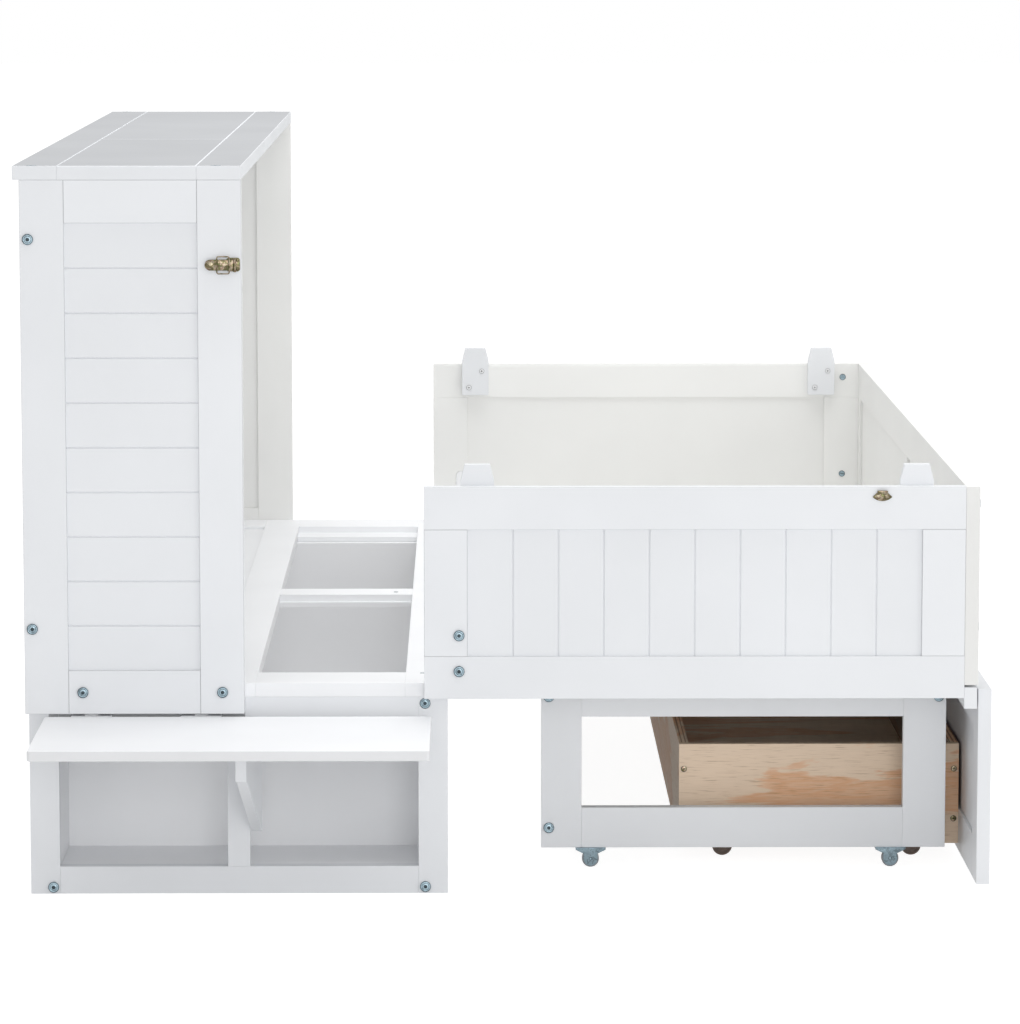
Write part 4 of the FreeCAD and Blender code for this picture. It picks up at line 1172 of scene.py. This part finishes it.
def latch_bail(pin_x, height, face):
    """The round wire loop that hooks over the catch."""
    half = 12.5 * MM
    bend = 2.5 * MM
    reach = 18 * MM - 2 * bend
    hidden = LEVER_HALF + 0.3 * MM
    turn = (-90, bend, TO_FAR)
    end = (half - hidden - bend,)
    steps = [end, turn, (reach,), turn, (2 * half - 2 * bend,), turn, (reach,), turn, end]
    start = (pin_x - BAIL_BACK, face - PIN_OUT - 2.6 * MM, height + hidden)
    return [bent_wire(start, UP, 0.95 * MM, steps)]


def catch_plate(low, high):
    """The catch on the tray side: a fan-shaped plate and a hooked tongue over its top.

    Returns its parts, and the places of its two screws.
    """
    middle = (low.x + high.x) / 2
    half = (high.x - low.x) / 2
    face = high.y
    sheet = 1.6 * MM
    wide, narrow = 8 * MM, 7.4 * MM
    top, shoulder, tip, bottom = [high.z - drop * MM for drop in (3, 6.5, 13, 19)]
    radius = (half ** 2 + (tip - bottom) ** 2) / (2 * (tip - bottom))
    turn = 2 * math.degrees(math.asin(half / radius))
    plate = outline_sheet((wide, shoulder), [(half, tip), (0, bottom + radius, -turn),
                                             (-wide, shoulder)], sheet, 0.3 * MM)
    tongue = outline_sheet((narrow, shoulder - 1 * MM),
                           [(wide, top - 1 * MM), (7 * MM, top), (-7 * MM, top),
                            (-wide, top - 1 * MM), (-narrow, shoulder - 1 * MM)],
                           1.4 * MM, 0.5 * MM)
    parts = [moved(plate, (middle, face - sheet, 0)), moved(tongue, (middle, low.y, 0)),
             block((middle - narrow, low.y, shoulder - 1.4 * MM),
                   (middle + narrow, face - sheet / 2, shoulder), 0.4 * MM)]
    return parts, [Vector((middle + side * 5.6 * MM, face - sheet, tip + 1 * MM))
                   for side in (-1, 1)]


def end_pieces(name, parts, bodies, nodes):
    """Yellow hardware at both ends: darker by 0.2 where it faces the front, and painted shade where
    it looks away from the lamps, by 0.42, and underneath, by 0.66.
    """
    near = joined(parts)
    shade(near, 0.2, lambda face: face.normal.y <= -0.8)
    shade(near, 0.42, lambda face: face.normal.y > -0.8)
    shade(near, 0.66, lambda face: face.normal.z < -0.35)
    near_and_far(name, near, bodies, "yellow_zinc_steel", nodes)


class LatchBuild(bpy.types.Operator):
    """The draw latches and the catches that they hook"""
    bl_idname = "wallbed.latches"
    bl_label = "Latches"

    def execute(self, context):
        low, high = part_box("latch_lever_near")
        height = (low.z + high.z) / 2
        pin_x = high.x - 2.2 * MM
        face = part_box("cabinet_side_frame_near")[0].y
        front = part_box("latch_plates")[1].x
        end_pieces("latch_base", latch_base(pin_x, front, height, face), ("root", "root"),
                   ("latch_plates",))
        lever = ["latch_lever_" + end for end in ENDS]
        end_pieces("latch_arm", latch_lever(pin_x, low.x + LEVER_HALF, height, face), lever, lever)
        bail = ["latch_bail_" + end for end in ENDS]
        end_pieces("latch_wire", latch_bail(pin_x, height, face), bail, bail)
        low, high = box_of(solids_of("latch_catches")[0])
        if low.y > 0:
            low.y, high.y = -high.y, -low.y
        parts, seats = catch_plate(low, high)
        parts.append(scattered(cross_screw(3.4 * MM, 1.2 * MM),
                               [turned_to(-TO_FAR, seat - TO_FAR * 0.7 * MM) for seat in seats]))
        end_pieces("catch", parts, ("tray", "tray"), ("latch_catches",))
        return {"FINISHED"}


class FastenerBuild(bpy.types.Operator):
    """Bolts, screws and barrel nuts"""
    bl_idname = "wallbed.fasteners"
    bl_label = "Bolts and screws"

    def execute(self, context):
        sunk = 2.0 * MM
        for node in ("root_bolts", "tray_connectors", "support_bolts"):
            crowns, nuts = fasteners(node)
            places = [turned_to(out, crown - out * (sunk if out.x > 0.5 else 0))
                      for crown, out, _ in crowns]
            self.heads(node + "_heads", socket_bolt(crowns[0][2], 3.0 * MM), places,
                       body_of(node), "blue_zinc_steel", (node,))
            if nuts:
                self.heads(node + "_nuts", slotted_nut(5.8 * MM, 1.2 * MM),
                           [turned_to(out, crown) for crown, out in nuts], body_of(node),
                           "blue_zinc_steel")
        for node, finish in (("tab_screws", "white_enamel"),
                             ("drawer_screws", "yellow_zinc_steel")):
            places = [turned_to(out, crown) for crown, out, _ in fasteners(node)[0]]
            self.heads(node + "_heads", cross_screw(4.6 * MM, 1.6 * MM), places, body_of(node),
                       finish, (node,))
        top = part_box("platform_frame")[1].z + 0.2 * MM
        spots = ((-0.1777, -0.0058), (-0.1249, -0.8685))  # X and Y, where the photo has them
        self.heads("platform_screws", cross_screw(3.8 * MM, 1.2 * MM),
                   [Matrix.Translation((x, y, top)) for x, y in spots], "root",
                   "blue_zinc_steel")
        return {"FINISHED"}

    def heads(self, name, pattern, places, body, finish, nodes=()):
        """One piece of the same head at each place."""
        make_piece(name, scattered(pattern, places), body, finish, nodes, SMOOTH)


class StageBuild(bpy.types.Operator):
    """Pale floor, soft lamps and camera"""
    bl_idname = "wallbed.stage"
    bl_label = "Stage"

    def execute(self, context):
        scene = context.scene
        chosen = settings().stage
        scene.view_settings.view_transform = "Standard"
        self.floor()
        self.world(chosen.sky)
        self.lamp("front_lamp", (0.8, -9.5, 1.3), (0, 0, 0.4), 3.5, chosen.front)
        self.lamp("side_lamp", (5.2, -3.4, 1.7), (0, 0, 0.5), 4.0, chosen.side)
        self.lamp("overhead_lamp", (0.3, 0.0, 5.0), (0, 0, 0), 4.0, chosen.overhead)
        camera = new_object("camera", bpy.data.cameras.new("camera"))
        camera.location = chosen.camera_place
        turn, tilt = chosen.camera_turn, chosen.camera_tilt
        look = Vector((math.sin(turn) * math.cos(tilt), math.cos(turn) * math.cos(tilt),
                       -math.sin(tilt)))
        camera.rotation_euler = look.to_track_quat("-Z", "Y").to_euler()
        camera.data.sensor_width = 36.0
        camera.data.lens = chosen.focal_length
        camera.data.clip_end = 200.0
        scene.camera = camera
        return {"FINISHED"}

    def lamp(self, name, place, aim, size, power):
        """A square soft lamp that looks at a point."""
        light = bpy.data.lights.new(name, "AREA")
        light.size = size
        light.energy = power
        thing = new_object(name, light)
        thing.location = place
        thing.rotation_euler = (Vector(aim) - Vector(place)).to_track_quat("-Z", "Y").to_euler()

    def seen_rays(self, add):
        """One for rays from the camera, a mirror or a glass, which see the background itself."""
        path = add("ShaderNodeLightPath").outputs
        first = add("ShaderNodeMath", {"operation": "MAXIMUM"},
                    {0: path["Is Camera Ray"], 1: path["Is Glossy Ray"]})
        return add("ShaderNodeMath", {"operation": "MAXIMUM"},
                   {0: first, 1: path["Is Transmission Ray"]})

    def world(self, sky):
        """Even white light, which shows as plain white behind the bed."""
        world = bpy.data.worlds.new("studio")
        world.use_nodes = True
        world.node_tree.nodes.clear()
        add = functools.partial(add_node, world.node_tree)
        strength = add("ShaderNodeMapRange", {"To Min": sky, "To Max": 1.0},
                       {"Value": self.seen_rays(add)})
        back = add("ShaderNodeBackground", {"Color": (1, 1, 1, 1)}, {"Strength": strength})
        add("ShaderNodeOutputWorld", links={"Surface": back})
        bpy.context.scene.world = world

    def floor(self):
        """A wide pale disc that keeps a faint shadow."""
        shape = bmesh.new()
        bmesh.ops.create_circle(shape, cap_ends=True, segments=96, radius=40.0)
        mesh = bpy.data.meshes.new("floor")
        moved(shape, (0, 0, -0.5 * MM)).to_mesh(mesh)
        shape.free()
        floor = new_object("floor", mesh)
        finish, add, place = new_material("pale_floor")
        grain = add("ShaderNodeTexNoise", {"Scale": 60.0, "Detail": 3.0}, {"Vector": place})
        tone = add("ShaderNodeValToRGB", links={"Fac": grain},
                   stops=((0.3, linear("F2F2F2")), (0.7, linear("F6F6F6"))))
        matt = add("ShaderNodeBsdfDiffuse", links={"Color": tone})
        white = add("ShaderNodeEmission", {"Strength": 1.36})
        share = add("ShaderNodeMath", {"operation": "MULTIPLY", 1: 0.68}, {0: self.seen_rays(add)})
        mesh.materials.append(end_material(finish, add(
            "ShaderNodeMixShader", links={0: share, 1: matt, 2: white})))


class WallBedPanel(bpy.types.Panel):
    """Lists the bed's operators and settings"""
    bl_idname = "WALLBED_PT_pieces"
    bl_label = "Wall bed"
    bl_space_type = "VIEW_3D"
    bl_region_type = "UI"
    bl_category = "Wall bed"

    def draw(self, context):
        column = self.layout.column(align=True)
        for kind in OPERATORS:
            column.operator(kind.bl_idname)
        chosen = settings()
        for group in (chosen.finish, chosen.boards, chosen.stage):
            box = self.layout.box()
            for key in group.bl_rna.properties.keys():
                if key not in ("rna_type", "name"):
                    box.prop(group, key)


OPERATORS = (BaseBuild, PlatformBuild, CabinetBuild, TrayBuild, SupportBuild, DrawerBuild,
             FlapBuild, TrayHingeBuild, CasterBuild, DrawerWheelBuild, LatchBuild, FastenerBuild,
             StageBuild)
CLASSES = (FinishSettings, BoardSettings, StageSettings, WallBedSettings, *OPERATORS, WallBedPanel)


def register():
    """Adds the classes, and the settings to the scene."""
    for kind in CLASSES:
        bpy.utils.register_class(kind)
    bpy.types.Scene.wall_bed = PointerProperty(type=WallBedSettings)


def unregister():
    """Takes them out again."""
    del bpy.types.Scene.wall_bed
    for kind in reversed(CLASSES):
        bpy.utils.unregister_class(kind)


def main():
    """Builds every piece and the stage."""
    register()
    for kind in OPERATORS:
        group, name = kind.bl_idname.split(".")
        getattr(getattr(bpy.ops, group), name)()


if __name__ == "__main__":
    main()
